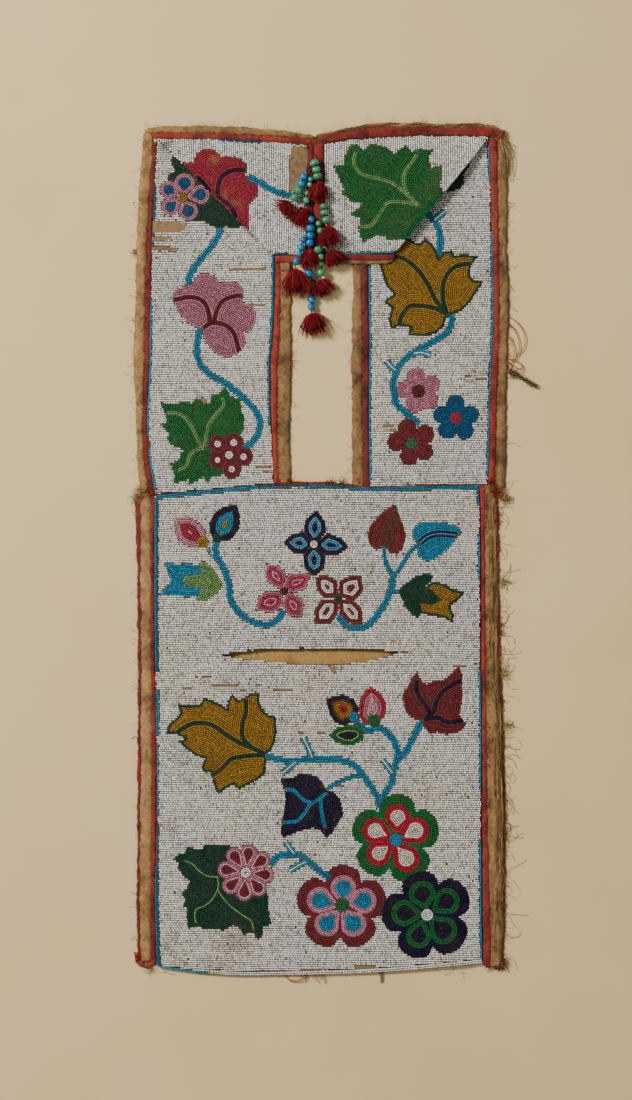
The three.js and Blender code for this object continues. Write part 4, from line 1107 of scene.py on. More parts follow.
pouch_items = [
    # upper half
    Stroke([(207.4, 548), (212.4, 555.7), (217, 562)], ["ltblue"]),
    Stroke([(216.7, 541), (215.8, 553), (219.8, 561), (225.8, 571.8), (229.1, 585.2), (230.5, 598.6), (236.5, 609.3), (247.2, 618.7), (260.6, 624), (271.3, 624), (279.4, 617.3), (284, 611)], BLUE3),
    Fill([(172.9, 517.5), (180.3, 518.2), (189.6, 517.5), (197.7, 521.6), (203, 527.6), (207, 535.6), (205.7, 545), (199, 547.7), (191, 547), (182.9, 543.7), (177.6, 538.3), (174.9, 528.9)], [(1, "pink"), (1, "palepink"), (1, "pink"), (3, "crimson"), (None, "palepink")]),
    Fill(disc((202.8, 542.4), 5.6), [(None, "mustard")]),
    Fill([(236.5, 504.2), (239.9, 516.9), (239.2, 527.6), (233.8, 537), (227.1, 541), (217.8, 541.6), (212.4, 537), (209.5, 530.3), (210.4, 520.9), (215.1, 512.9), (224.5, 506.8), (232.5, 505.9)], [(3, "navy"), (3, "turq"), (None, "mustard")]),
    Fill(disc((217.5, 538), 4.4), [(None, "dkgreen")]),
    Fill([(164.9, 562.4), (176.2, 564.4), (187, 563.7), (199, 565.8), (204, 572), (204, 588), (196.3, 596.6), (187, 596.6), (173.6, 595.2), (159.5, 595.2), (164.2, 588.5), (170.9, 582.5), (171.6, 578.5), (166.9, 570.4)], [(None, "turq")]),
    Fill([(200.4, 561.7), (205.7, 562.4), (212.4, 568.4), (219.1, 577.1), (223.8, 585.8), (216.4, 593.2), (207, 599.9), (195.7, 600.6), (199, 594.5), (203, 587.9), (191, 587.2), (181.6, 581.2), (187, 575.8), (197.7, 575.1), (202.4, 571.8), (200.4, 566.4)], [(None, "ltgreen")]),
    Fill(widen([(266.6, 564.4), (275, 566), (282, 572), (285.2, 580), (284, 589.6), (276, 586), (269, 580), (266.2, 572)], (284.7, 591.2), (265.6, 563.4), 1.28), [(1, "pink"), (1, "rose"), (1, "crimson"), (1, "palepink"), (None, "crimson")]),
    Fill(widen([(311.2, 574.8), (300.8, 574.2), (290, 577), (286, 583), (286, 590.4), (294, 591.5), (304.8, 586.8)], (284.7, 591.2), (311.6, 575), 1.28), [(1, "pink"), (1, "rose"), (1, "crimson"), (1, "palepink"), (None, "crimson")]),
    Fill(widen([(256.4, 610.2), (260.2, 598.6), (268.7, 593), (282.6, 592.4), (281.6, 602), (278, 607), (271.3, 610.8)], (284.7, 591.2), (256, 610.4), 1.28), [(1, "pink"), (1, "rose"), (1, "crimson"), (1, "palepink"), (None, "crimson")]),
    Fill(widen([(301.8, 617), (302.4, 603.9), (295.4, 596.2), (286.4, 592.8), (284.2, 600), (285.6, 607), (291.4, 614.8)], (284.7, 591.2), (302, 617.4), 1.28), [(1, "pink"), (1, "rose"), (1, "crimson"), (1, "palepink"), (None, "crimson")]),
    Fill(disc((284.7, 591.2), 3.9), [(None, "maroon")]),
    Fill([(316.2, 510.4), (321, 516), (325.3, 522.6), (325.2, 533), (317.4, 542), (311, 542), (304.4, 532), (305, 522.4), (309.6, 516)], [(2, "navy"), (2, "ltblue"), (None, "navy")]),
    Fill([(283.6, 543), (292.8, 534), (303.5, 532.4), (312, 541.8), (311.6, 547.4), (303.5, 553.4), (294, 552.6)], [(2, "navy"), (2, "ltblue"), (None, "navy")]),
    Fill([(314.2, 576), (305.2, 568), (303.2, 555.7), (311, 546), (316.8, 546), (325.2, 555.7), (323.8, 568)], [(2, "navy"), (2, "ltblue"), (None, "navy")]),
    Fill([(348.6, 547.2), (341, 538.6), (328.2, 533.4), (317.6, 541.6), (317.6, 548), (325.4, 554.8), (338.1, 554.6)], [(2, "navy"), (2, "ltblue"), (None, "navy")]),
    Fill(disc((313.9, 544.4), 3.9), [(None, "white")]),
    Stroke([(338.1, 616), (346.5, 625.7), (357.7, 628.6), (368.9, 624.3), (378.8, 613.1), (387.2, 599.1), (391.4, 587.9), (393, 575)], BLUE3),
    Stroke([(392.6, 576), (385.8, 562.6), (383.7, 548)], BLUE2),
    Stroke([(393.6, 576.4), (402.6, 564), (409.6, 552.8), (419, 543.6)], BLUE2),
    Stroke([(391, 591), (402, 590.7)], BLUE2),
    Fill(widen([(316.3, 577.3), (325.4, 576.2), (336, 582), (338, 596.6), (325.4, 597), (318.2, 589.6)], (338.4, 598.4), (316.3, 577.3), 1.14), [(2, "darkred"), (2, "white"), (None, "darkred")]),
    Fill(widen([(360.9, 575.6), (362.2, 589.3), (353.5, 599.4), (339, 597), (340.6, 582.2), (349.3, 577.7)], (338.4, 598.4), (360.9, 575.6), 1.14), [(2, "darkred"), (2, "white"), (None, "darkred")]),
    Fill(widen([(315.3, 623.3), (316, 610.3), (324, 600.2), (338, 599.4), (337, 611.7), (329.6, 622)], (338.4, 598.4), (315.3, 623.3), 1.14), [(2, "darkred"), (2, "white"), (None, "darkred")]),
    Fill(widen([(362.2, 624), (361, 610.3), (352.1, 600.9), (339, 599.6), (340.6, 611.7), (349.3, 622)], (338.4, 598.4), (362.2, 624), 1.14), [(2, "darkred"), (2, "white"), (None, "darkred")]),
    Fill(disc((338.4, 598.4), 3.7), [(None, "dkgreen")]),
    Fill([(395.6, 505.1), (399.8, 516.3), (404, 527.5), (405.4, 537.3), (402.6, 548.6), (397, 554.2), (390, 552.8), (384.4, 547.2), (375.9, 550), (369.6, 544.4), (367.5, 535.9), (370.3, 526.1), (378.8, 516.3), (388.6, 507.9)], [(None, "darkred")], [([(396.4, 512), (390, 527), (384, 546)], 5, ["olive", "darkred", "olive", "darkred", "olive"])]),
    Fill([(462.2, 531.7), (455.9, 526.1), (446.1, 523.3), (432.1, 521.9), (420.8, 522.6), (414.5, 527.5), (412.4, 533.1), (414.5, 540.2), (419.4, 544.4), (417.3, 550), (419.4, 557), (426.5, 561.2), (433.5, 559.8), (443.3, 552.8), (451.7, 544.4)], [(None, "turq")], [([(420.4, 542.6), (427.9, 536.6), (439.1, 533.8), (455.9, 535.2)], 3, ["navy", "ltblue", "navy"])]),
    Fill([(426.5, 586.5), (432.1, 582.2), (443.3, 583.7), (453.1, 590), (464.8, 592.1), (458.7, 599.6), (451.7, 603.6), (450.3, 608.2), (453.6, 614.5), (452.2, 622.8), (444.7, 617.6), (433.5, 615.6), (421, 613.4), (418, 603.3)], [(1, "dkgreen"), (None, "mustard")]),
    Fill([(398.6, 590), (408.2, 582.2), (416.6, 576.6), (425, 573.8), (433, 575.6), (430.9, 580.8), (425, 586.5), (433, 591), (441.6, 600.2), (430.7, 605), (420.5, 602.7), (421, 610.3), (418.2, 618.4), (411, 613.1), (405.4, 606.1), (401, 596.3)], [(None, "dkgreen")]),
    # lower half
    Stroke([(262, 754), (278, 759.3), (294.1, 760.6), (314.2, 759), (330, 759), (345, 761), (354.9, 765.9), (363.3, 775.7), (371.7, 787), (377.3, 796.8), (379.4, 808)], BLUE3),
    Stroke([(312.4, 757.4), (309, 749), (303.5, 738)], SPROUT),
    Stroke([(296, 762), (290, 766.6), (283, 772.7)], SPROUT),
    Fill([(178.3, 703.7), (187, 705.7), (200.4, 705), (204.4, 697.7), (212.4, 701), (221.8, 705), (227.1, 709.1), (228.5, 700.4), (232.5, 694.3), (237.9, 700.4), (243.2, 699), (249.9, 693.7), (259.3, 693.7), (259.3, 703), (264.6, 712.4), (270, 715.8), (275.4, 716.4), (276.7, 731.2), (275.4, 740.5), (271.3, 749.9), (265.3, 753.9), (266.6, 762), (264.6, 772.7), (257.9, 779.4), (248.6, 784), (239.2, 789.4), (233.8, 784), (225.8, 788.1), (218.4, 794.1), (215.1, 786.1), (211.7, 775.4), (211.1, 771.3), (205.7, 772.7), (201.7, 767.3), (205.7, 757.9), (196.3, 755.3), (187, 748.6), (179.6, 741.9), (185.6, 737.9), (176.2, 733.8), (166.2, 733.2), (169.6, 724.5), (178.9, 715.8), (180.9, 712.4)],
         [(1, "dkgreen"), (None, "mustard")],
         [([(264.6, 753.9), (253.9, 748.6), (240.5, 743.2), (227.1, 735.2), (213.7, 725.8), (203, 723.1), (192.3, 723.8), (182.9, 728.5), (176.9, 733.2)], 2, "dkgreen"),
          ([(252, 748), (243.2, 737.9), (242.5, 724.5), (245.9, 712.4), (245.9, 699)], 2, "dkgreen"),
          ([(264, 755), (247.2, 755.9), (232.5, 758.6), (227.1, 763.3), (220.4, 770), (212.4, 775.4)], 2, "dkgreen")],
         [((215, 765), 12, "brown", 0.35)]),
    Stroke([(361, 774.6), (346.5, 778.6), (333.9, 784.9), (325, 790.6)], BLUE2),
    Fill([(280.7, 779.4), (295.4, 777.4), (299.5, 773.3), (310.2, 775), (317, 777), (322.6, 782.8), (325.4, 789.8), (333.9, 792.6), (340, 799), (341.1, 804), (343, 813.9), (335.3, 826.5), (331.7, 833.5), (326.1, 837.7), (320.5, 830), (312.8, 827.5), (299.5, 830.8), (282.7, 837.5), (280.7, 830.2), (284, 814.1), (286, 798), (284, 787.4)],
         [(None, "navy")],
         [([(326, 793.4), (318.2, 799.4), (310.2, 804.7), (304.8, 813), (296.8, 820.8), (283.4, 822.4)], 2, "turq"),
          ([(321, 798), (321.6, 811.4), (324.9, 826.6)], 2, "turq"),
          ([(286, 789.4), (294, 790.6), (303, 799.4), (311.5, 803)], 2, "turq")]),
    Stroke([(353.5, 717), (359.1, 724.5), (367.5, 730.1), (380.2, 728), (388.6, 734.4), (395.6, 743.5), (397.7, 754.7), (394.6, 768.7), (391.4, 782.8), (385.8, 792.6), (379.6, 804)], BLUE3),
    Stroke([(398.4, 759.6), (405.4, 751.9), (413.8, 736.5), (422.4, 720)], BLUE3),
    Stroke([(392.6, 773), (388, 767), (383, 760.3)], SPROUT),
    Fill([(329.2, 735), (336.7, 728.4), (346.5, 725.6), (357.7, 726.4), (364.4, 732.2), (362, 739.6), (353.5, 745.2), (345, 745.2), (335.3, 741)], [(2, "green"), (1, "ltgreen"), (None, "navy")]),
    Fill([(326.2, 699.7), (333.9, 696.3), (343.7, 694.9), (353.5, 699.1), (358.6, 707), (357.9, 712.6), (352.1, 721.3), (343.7, 725.5), (335.3, 722), (330.1, 714), (328, 705.6)], [(2, "navy"), (1, "brown"), (2, "mustard"), (1, "red"), (None, "maroon")]),
    Fill([(370.3, 686.2), (378.8, 693), (384.6, 700), (386, 708.4), (384, 716.8), (375.9, 724), (364.7, 724), (358.9, 716.8), (359.6, 707), (361.8, 697.2)], [(2, "red"), (2, "pink"), (2, "palepink"), (None, "cream")]),
    Fill(disc((374.3, 720.7), 6.5), [(None, "green")]),
    Fill(disc((353.5, 716.6), 4.8), [(None, "turq")]),
    Fill([(417.3, 671.5), (420.8, 680.3), (426.5, 684.5), (436.3, 680.3), (443.3, 680.3), (451.7, 674), (458, 666.6), (462.4, 674.7), (461.7, 687.3), (461.7, 701.4), (459, 715.4), (466.2, 723.8), (460.1, 731), (446.1, 734.6), (437.7, 731.7), (429.3, 733.2), (424.4, 726.6), (422.2, 720.3), (413.8, 718.4), (406.8, 712.8), (404, 702.8), (402.4, 695.8), (404.5, 690.2), (408.2, 687.3), (412.4, 677.5)],
         [(None, "darkred")],
         [([(427, 717), (429.3, 711.2), (420.8, 698.6), (416.6, 690.2), (417.3, 680)], 2, "navy"),
          ([(427.5, 717), (433.5, 711.6), (437.7, 698.6), (446.1, 688.8), (461, 680.3)], 2, "navy"),
          ([(424, 719.4), (437.7, 717.4), (447.5, 721.9), (462.5, 720.6)], 2, "navy")]),
    Petals([teardrop((397, 827), (398.2, 809.6), 15.7), teardrop((403.4, 837.4), (422.4, 826.3), 16.7), teardrop((397.7, 846.8), (411.2, 864.6), 16.7), teardrop((389, 846), (373.1, 857.3), 14.6), teardrop((387, 835.4), (368.2, 827.7), 15.7)], "shell", [(3, "red"), (5, "green")], ((395.9, 839.8), 6.4, "turq"), 4.5),
    Petals([teardrop((343, 898.4), (343.8, 880.3), 16.2), teardrop((353, 902.4), (371.2, 899.2), 16.2), teardrop((345.4, 914.3), (358.6, 929.1), 16.2), teardrop((335, 914.3), (322.4, 929.1), 15.1), teardrop((333, 904), (312.6, 897.8), 16.2)], "turq", [(1, "pink"), (1, "palepink"), (1, "pink"), (5, "darkred")], ((342.3, 905), 6.6, "green"), 4.5),
    Petals([teardrop((424.6, 903.4), (420.6, 886.4), 16.8), teardrop((437.4, 908), (452.6, 896.4), 16.2), teardrop((433.4, 920.4), (449.2, 936.1), 17.9), teardrop((421, 924.4), (417.2, 942.4), 15.1), teardrop((416.8, 914.2), (396.8, 912), 16.2)], "navy", [(3, "green"), (5, "navy")], ((427.2, 914.6), 6.0, "white"), 4.5),
    Stroke([(271, 865), (276.7, 857), (287.4, 854.3), (299.5, 855), (310.2, 862.3), (320.9, 871.7), (330, 878)], BLUE3),
    Stroke([(294.6, 853.6), (290, 848), (286, 842.2)], SPROUT),
    Stroke([(306, 861.4), (298, 865.6), (290, 870.4)], SPROUT),
    Fill([(204.4, 844.2), (229.8, 845.6), (240, 860), (262, 880), (268.7, 897.1), (268, 906.5), (271.3, 923.9), (263.3, 925.9), (262, 936), (257.9, 939.3), (253.9, 933.3), (249.9, 931.3), (243.9, 934.6), (239.2, 926.6), (233.8, 924.6), (223.1, 930), (212.4, 927.9), (203, 927.9), (197.7, 925.3), (188.3, 928.6), (187, 915.9), (188.3, 907.9), (182.9, 905.2), (187, 899.8), (181.6, 893.8), (187, 889.1), (190.3, 881.1), (182.9, 874.4), (178.3, 867.7), (178.9, 862.3), (174.2, 859), (178.9, 854.3), (185.6, 852.9), (187, 846.9), (195, 848.9), (203, 848.9)],
         [(None, "dkgreen")],
         [([(218, 877), (207, 875.7), (199, 870.4), (192.3, 863.7), (184.3, 860.3)], 1, "ltgreen"),
          ([(217.6, 876), (218.4, 886.4), (213.7, 897.1), (205.7, 905.2), (196.3, 909.2), (195, 917.2), (196.3, 922.6)], 1, "ltgreen"),
          ([(218.4, 888), (219.8, 893.1), (229.8, 905.2), (243.2, 915.2), (251.2, 920.6), (253.9, 930)], 1, "ltgreen")]),
    Petals([teardrop((245.9 + 8.6 * math.cos(math.radians(a)), 872.4 + 8.6 * math.sin(math.radians(a))), (245.9 + 24.6 * math.cos(math.radians(a)), 872.4 + 24.6 * math.sin(math.radians(a))), 9.6) for a in (-82, -37, 6, 51, 94, 139, 188, 236)], "darkred", [(1, "palepink"), (1, "pink")], ((245.9, 872.4), 5.2, "white")),
]

# rows of blue beads along the edges, beside the binding
left_turn_edge = [Stroke([(219, 139.6), (262, 142.2)], ["petal"]), Stroke([(273.5, 254.2), (288, 254.2)], ["petal"])]
left_limb_edge = [
    Stroke([(155.4, 186), (153.6, 230), (152.6, 250)], ["petal"]),
    Stroke([(151.3, 300), (150.6, 340), (150.2, 372), (147.9, 424), (150.8, 464), (155.6, 489)], ["turq"]),
    Stroke([(274.2, 256), (273.8, 300), (271.6, 344), (269.6, 364), (270.2, 410), (270.6, 424)], ["petal", "turq"]),
]
right_limb_edge = [
    Stroke([(488.6, 142), (490, 180)], ["turq"]),
    Stroke([(491.4, 205), (492.6, 300), (492.4, 326), (489.6, 394), (488, 461), (487, 476)], ["turq"]),
    Stroke([(369.6, 266), (369.8, 300), (370.4, 340), (369.9, 420), (370.6, 480)], ["turq"]),
]
pouch_edge = [
    Stroke([(156, 497.4), (200, 492.8), (240, 489.2), (277, 485.8), (330, 485.8), (360, 488.6), (372, 489.4), (420, 488.2), (478, 487)], ["blue", "turq"]),
    Stroke([(156.6, 499), (156.4, 560), (156.6, 640), (157.4, 672)], ["petal", "turq"]),
    Stroke([(157.4, 690), (157.8, 735)], ["turq", "turq"]),
    Stroke([(157.8, 745), (157.8, 815)], ["turq"]),
    Stroke([(156.8, 820), (157, 860), (157, 900), (158, 945), (159, 966)], ["petal", "turq"]),
    Stroke([(159, 966.4), (200, 972.2), (208, 972.8)], ["turq"]),
    Stroke([(210, 971.9), (240, 973.7), (310, 972.9), (380, 970.3), (440, 965.3), (482, 961.4)], ["white", "white"]),
    Stroke([(478, 489), (478.8, 506)], ["turq"]),
    Stroke([(479.2, 534), (479.4, 580)], ["turq"]),
    Stroke([(479.6, 668), (480.4, 732), (480.2, 790)], ["turq"]),
    Stroke([(480.2, 838), (480.6, 900), (481.4, 958)], ["turq"]),
]

# soiled places, and painted shade along the left fold's crease: centre, size, colour, strength
STAIN = srgb(120, 84, 44)
stains_pouch = [((172, 829), 9, STAIN, 0.5), ((212, 836), 6, STAIN, 0.4), ((238, 942), 16, STAIN, 0.42), ((172, 944), 10, STAIN, 0.4), ((220, 968), 13, STAIN, 0.32), ((190, 774), 14, STAIN, 0.22), ((300, 612), 12, STAIN, 0.28), ((345, 640), 26, STAIN, 0.14), ((310, 858), 10, STAIN, 0.2), ((190, 757), 10, STAIN, 0.36), ((404, 790), 20, STAIN, 0.1), ((250, 690), 26, STAIN, 0.14), ((455, 955), 12, STAIN, 0.18), ((318, 676), 22, STAIN, 0.16)]
# the first fifteen marks, in a line along the left fold, are painted crease shade; the dark patch at (167, 146) darkens
# the top left corner
stains_and_crease_shade_left = [((243 + 2.1 * k, 226.4 + 1.93 * k), 1.9, srgb(84, 76, 66), 0.55) for k in range(15)] + [((167, 146), 9, srgb(70, 52, 38), 0.5), ((166, 240), 18, STAIN, 0.2), ((214, 160), 4.5, srgb(190, 140, 80), 0.75), ((229, 196), 6, srgb(196, 142, 84), 0.55), ((237, 206), 5, srgb(196, 142, 84), 0.5)]
stains_right = [((385, 428), 14, STAIN, 0.16), ((475, 378), 14, STAIN, 0.14)]


def rows_of(region, vertical, seed):
    """Background rows over a region: beads side by side on threads, a little uneven."""
    q = np.asarray(region, float)
    lo, hi = q.min(0) - 2, q.max(0) + 2
    if vertical:
        v = np.arange(lo[0], hi[0], GROUND_ROW)
        u = np.arange(lo[1], hi[1], PITCH)
    else:
        v = np.arange(lo[1], hi[1], GROUND_ROW)
        u = np.arange(lo[0], hi[0], PITCH)
    U, V = np.meshgrid(u, v)
    U = U + (hash2(np.arange(len(v)), np.zeros(len(v)), seed) * PITCH)[:, None] + rng.normal(0, 0.09, U.shape)
    W = V + 0.75 * noise(U / 55, V / 40, seed + 3) + 0.28 * noise(U / 13, V / 11, seed + 4) + rng.normal(0, 0.05, U.shape)
    slope = (0.75 * (noise((U + 1) / 55, V / 40, seed + 3) - noise((U - 1) / 55, V / 40, seed + 3)) + 0.28 * (noise((U + 1) / 13, V / 11, seed + 4) - noise((U - 1) / 13, V / 11, seed + 4))) / 2
    if vertical:
        p = np.stack([W, U], -1).reshape(-1, 2)
        a = (np.pi / 2 - np.arctan(slope)).ravel()
    else:
        p = np.stack([U, W], -1).reshape(-1, 2)
        a = np.arctan(slope).ravel()
    keep = poly_sd(p, q) > 0.75
    return p[keep], a[keep]


def near_items(p, items):
    """How deep each point is in any of the items (positive inside)."""
    d = np.full(len(p), -9.0)
    for it in items:
        m = np.all((p > it.lo - 2) & (p < it.hi + 2), axis=1)
        if m.any():
            d[m] = np.maximum(d[m], it.sd(p[m]))
    return d


def tuck(d):
    """Beads that meet a shape worked over them lie a little lower."""
    return 0.42 * smooth((d + 1.0) / 0.6)


def work(region, items, vertical, seed, ground, bare=(), gaps=(), soil_and_shade_marks=(), lost=0.0022):
    """All beads of one part of the bag: points, headings, colours, drop, width."""
    P, A, C, D, S = [], [], [], [], []
    bg, ang = rows_of(region, vertical, seed)
    d = near_items(bg, items)
    keep = d < -0.34
    for x0, x1, y in gaps:
        keep &= ~((bg[:, 0] > x0) & (bg[:, 0] < x1) & (np.abs(bg[:, 1] - gap_line(bg[:, 0], y, seed)) < 0.85))
    keep &= rng.random(len(bg)) > lost
    bg, ang, d = bg[keep], ang[keep], d[keep]
    v = bg[:, 0] if vertical else bg[:, 1]
    row = np.floor(v / GROUND_ROW + 0.5)
    tone = 1 + 0.05 * noise(bg[:, 0] / 37, bg[:, 1] / 29, seed + 6) + 0.06 * (2 * hash2(row, row * 0, seed + 12) - 1) + rng.normal(0, 0.24, len(bg))
    warm = 0.03 * noise(bg[:, 0] / 61, bg[:, 1] / 53, seed + 7) + rng.normal(0, 0.016, len(bg))
    col = ground[None] * np.clip(tone, 0.45, 1.5)[:, None] * np.stack([1 + warm, 1 + 0.2 * warm, 1 - 1.6 * warm], -1)
    dull = rng.random(len(bg)) < 0.04
    col[dull] *= 0.6
    P.append(bg), A.append(ang), C.append(col), D.append(tuck(d)), S.append(np.full(len(bg), 1.08))
    for i, it in enumerate(items):
        b = it.beads()
        if not b:
            continue
        p = np.array([(q[0], q[1]) for q in b])
        a = np.array([q[2] for q in b])
        c = np.array([PAL[q[3]] for q in b])
        k = np.array([q[4] if len(q) > 4 else 0 for q in b])
        over = near_items(p, items[i + 1:])
        keep = (poly_sd(p, region) > 0.2) & (over < -0.34)
        keep &= rng.random(len(p)) > 0.5 * lost
        p, a, c, k, over = p[keep], a[keep], c[keep], k[keep], over[keep]
        for (cx, cy), r, colour, w in getattr(it, "spots", ()):
            w = w * np.exp(-(((p[:, 0] - cx) ** 2 + (p[:, 1] - cy) ** 2) / r**2))
            c = c * (1 - w[:, None]) + PAL[colour] * w[:, None]
        white = np.all(np.abs(c - PAL["white"]) < 1e-6, axis=1)
        c = np.where(white[:, None], ground[None], c)
        # alternate rows lighter and darker (1.1 and 0.9): painted highlight and shade that picks out the rows; the rest
        # of the spread is random tone
        tone = np.clip((1 + rng.normal(0, 0.18, len(c))) * np.where(k % 2 == 0, 1.1, 0.9), 0.35, 1.9)
        c = c * tone[:, None] * (1 + rng.normal(0, 0.03, c.shape))
        P.append(p), A.append(a), C.append(c), D.append(tuck(over)), S.append(np.where(white, 0.98, 1.06))
    P, A, C, D, S = np.vstack(P), np.concatenate(A), np.vstack(C), np.concatenate(D), np.concatenate(S)
    keep = np.ones(len(P), bool)
    for poly in bare:
        keep &= poly_sd(P, np.array(poly)) < 0.5 * noise(P[:, 0] / 2.5, P[:, 1] / 2.5, seed + 8)
    P, A, C, D, S = P[keep], A[keep], C[keep], D[keep], S[keep]
    # stains, and on the left strap painted shade along the fold's crease
    for (cx, cy), r, colour, k in soil_and_shade_marks:
        w = k * np.exp(-(((P[:, 0] - cx) ** 2 + (P[:, 1] - cy) ** 2) / r**2)) * np.clip(0.75 + 0.9 * noise(P[:, 0] / 4.5, P[:, 1] / 4.5, 77), 0, 1)
        C = C * (1 - w[:, None]) + colour * w[:, None]
    return P, A, np.clip(C, 0.001, 0.95), D, S


BEAD_V = np.array([(-1, -1, 0), (1, -1, 0), (1, 1, 0), (-1, 1, 0), (-0.5, 0, 1), (0.5, 0, 1)], float)
BEAD_F = np.array([(0, 2, 1), (0, 3, 2), (0, 1, 5), (0, 5, 4), (2, 3, 4), (2, 4, 5), (3, 0, 4), (1, 2, 5)])
BEAD_SIZE = np.array([0.71, 0.88, 1.5])


def bead_mesh(name, at, along_dir, up, C, width=0.86):
    """Short glass beads sewn down, each a closed body: places in mm, thread directions and up directions."""
    n = len(at)
    half = (1 + rng.normal(0, 0.045, (n, 3))) * BEAD_SIZE
    half[:, 1] *= width
    t = along_dir - up * np.sum(along_dir * up, 1, keepdims=True)
    t /= np.linalg.norm(t, axis=1, keepdims=True)
    b = np.cross(up, t)
    l = BEAD_V[None] * half[:, None]
    v = at[:, None] + l[..., :1] * t[:, None] + l[..., 1:2] * b[:, None] + l[..., 2:] * up[:, None]
    faces = (BEAD_F[None] + 6 * np.arange(n)[:, None, None]).reshape(-1, 3)
    o = mesh_object(name, v.reshape(-1, 3) * MM, faces, M_BEAD, True, np.repeat(C, 6, 0))
    return finish_piece(o, "seed_beads")


def bead_piece(name, P, A, C, D, S, z):
    """Beads lying on a cloth whose height is z."""
    n = len(P)
    base = z(P) - 0.1 - D + rng.normal(0, 0.07, n)
    e = 0.6
    slope = [(z(P + np.array(s)) - z(P - np.array(s))) / (2 * e) for s in ((e, 0.0), (0.0, e))]
    up = np.column_stack([-slope[0] + rng.normal(0, 0.05, n), slope[1] + rng.normal(0, 0.05, n), np.ones(n)])
    up /= np.linalg.norm(up, axis=1, keepdims=True)
    a = A + rng.normal(0, 0.07, n)
    at = np.column_stack([xy(P) / MM, base])
    return bead_mesh(name, at, np.column_stack([np.cos(a), -np.sin(a), np.zeros(n)]), up, C, S)


WHITE_STRAP = srgb(238, 235, 226)
WHITE_POUCH = srgb(237, 233, 222)

left_limb_region = [(157, 138)] + leftOuter[1:-1] + [(154.4, 494.6), (200, 491), (240, 487), (274, 484)] + leftInner[::-1][1:] + [(276, 252.9)]
left_turn_region = [(156.4, 138.6)] + leftTurn[1:-1] + [(307.4, 255), (272.4, 255.2)]
right_limb_region = [(393.6, 249), (368.5, 249)] + rightInner[1:-1] + [(369.6, 487), (420, 486.2), (488, 484.8)] + rightOuter[::-1][1:]
right_turn_region = [(490, 136.6)] + rightTurn[1:5] + [(323, 254), (394.6, 254.2)]

seed_pieces = {"left": [], "right": [], "pouch": []}
P, A, C, D, S = work(left_limb_region, left_limb_edge + left_limb_items, False, 101, WHITE_STRAP, bare_left_limb, gaps_left_limb, stains_and_crease_shade_left)
seed_pieces["left"].append(bead_piece("strap_left_beads", P, A, C, D, S, z_limb))
P, A, C, D, S = work(left_turn_region, left_turn_edge + left_turn_items, True, 102, WHITE_STRAP, bare_left_turn, (), stains_and_crease_shade_left)
seed_pieces["left"].append(bead_piece("strap_left_turn_beads", P, A, C, D, S, z_turn_left))
P, A, C, D, S = work(right_limb_region, right_limb_edge + right_limb_items, False, 103, WHITE_STRAP, (), gaps_right_limb, stains_right)
seed_pieces["right"].append(bead_piece("strap_right_beads", P, A, C, D, S, z_limb))
P, A, C, D, S = work(right_turn_region, right_turn_items, True, 104, WHITE_STRAP)
seed_pieces["right"].append(bead_piece("strap_right_turn_beads", P, A, C, D, S, z_turn_right))
# rows down the outside of the right fold
t = np.arange(0.04, 0.975, PITCH / np.linalg.norm(FOLD_B - FOLD_A))
wall = fold_points(t)
out = np.array([-FOLD_IN[0], FOLD_IN[1], 0.0])
places, ups = [], []
for k in range(len(t)):
    s = np.concatenate([[0], np.cumsum(np.linalg.norm(np.diff(wall[k], axis=0), axis=1))])
    for w in np.arange(1.5, s[-1] - 3.5, GROUND_ROW):
        q = np.array([np.interp(w, s, wall[k][:, c]) for c in range(3)])
        d = np.array([np.interp(w + 0.3, s, wall[k][:, c]) - np.interp(w - 0.3, s, wall[k][:, c]) for c in range(3)])
        d = np.array([d[0], -d[1], d[2]]) / np.linalg.norm(d)
        along_fold = np.array([FOLD_T[0], -FOLD_T[1], 0.0])
        u = np.cross(along_fold, d)
        u = u if u @ (out + np.array([0, 0, 0.4])) > 0 else -u
        if q[2] > 4.2:
            places.append([q[0] - X0, Y0 - q[1], q[2]])
            ups.append(u / np.linalg.norm(u))
places, ups = np.array(places), np.array(ups)
tone = np.clip(1 + rng.normal(0, 0.16, len(places)), 0.5, 1.5)
fold_col = np.repeat(WHITE_STRAP[None], len(places), 0)
fold_y = Y0 - places[:, 1]
fold_col[(fold_y > 191) & (fold_y < 240)] = PAL["green"]
seed_pieces["right"].append(bead_mesh("strap_right_fold_beads", places - 0.1 * ups, np.repeat(along_fold[None], len(places), 0), ups, fold_col * tone[:, None], 1.05))
P, A, C, D, S = work(pouch, pouch_edge + pouch_items, False, 105, WHITE_POUCH, bare_pouch + [slit], gaps_pouch, stains_pouch)
cuts = [480, 610, 735, 860, 990]
for i in range(4):
    m = (P[:, 1] >= cuts[i]) & (P[:, 1] < cuts[i + 1])
    seed_pieces["pouch"].append(bead_piece(f"pouch_beads_{i + 1}", P[m], A[m], C[m], D[m], S[m], z_front))

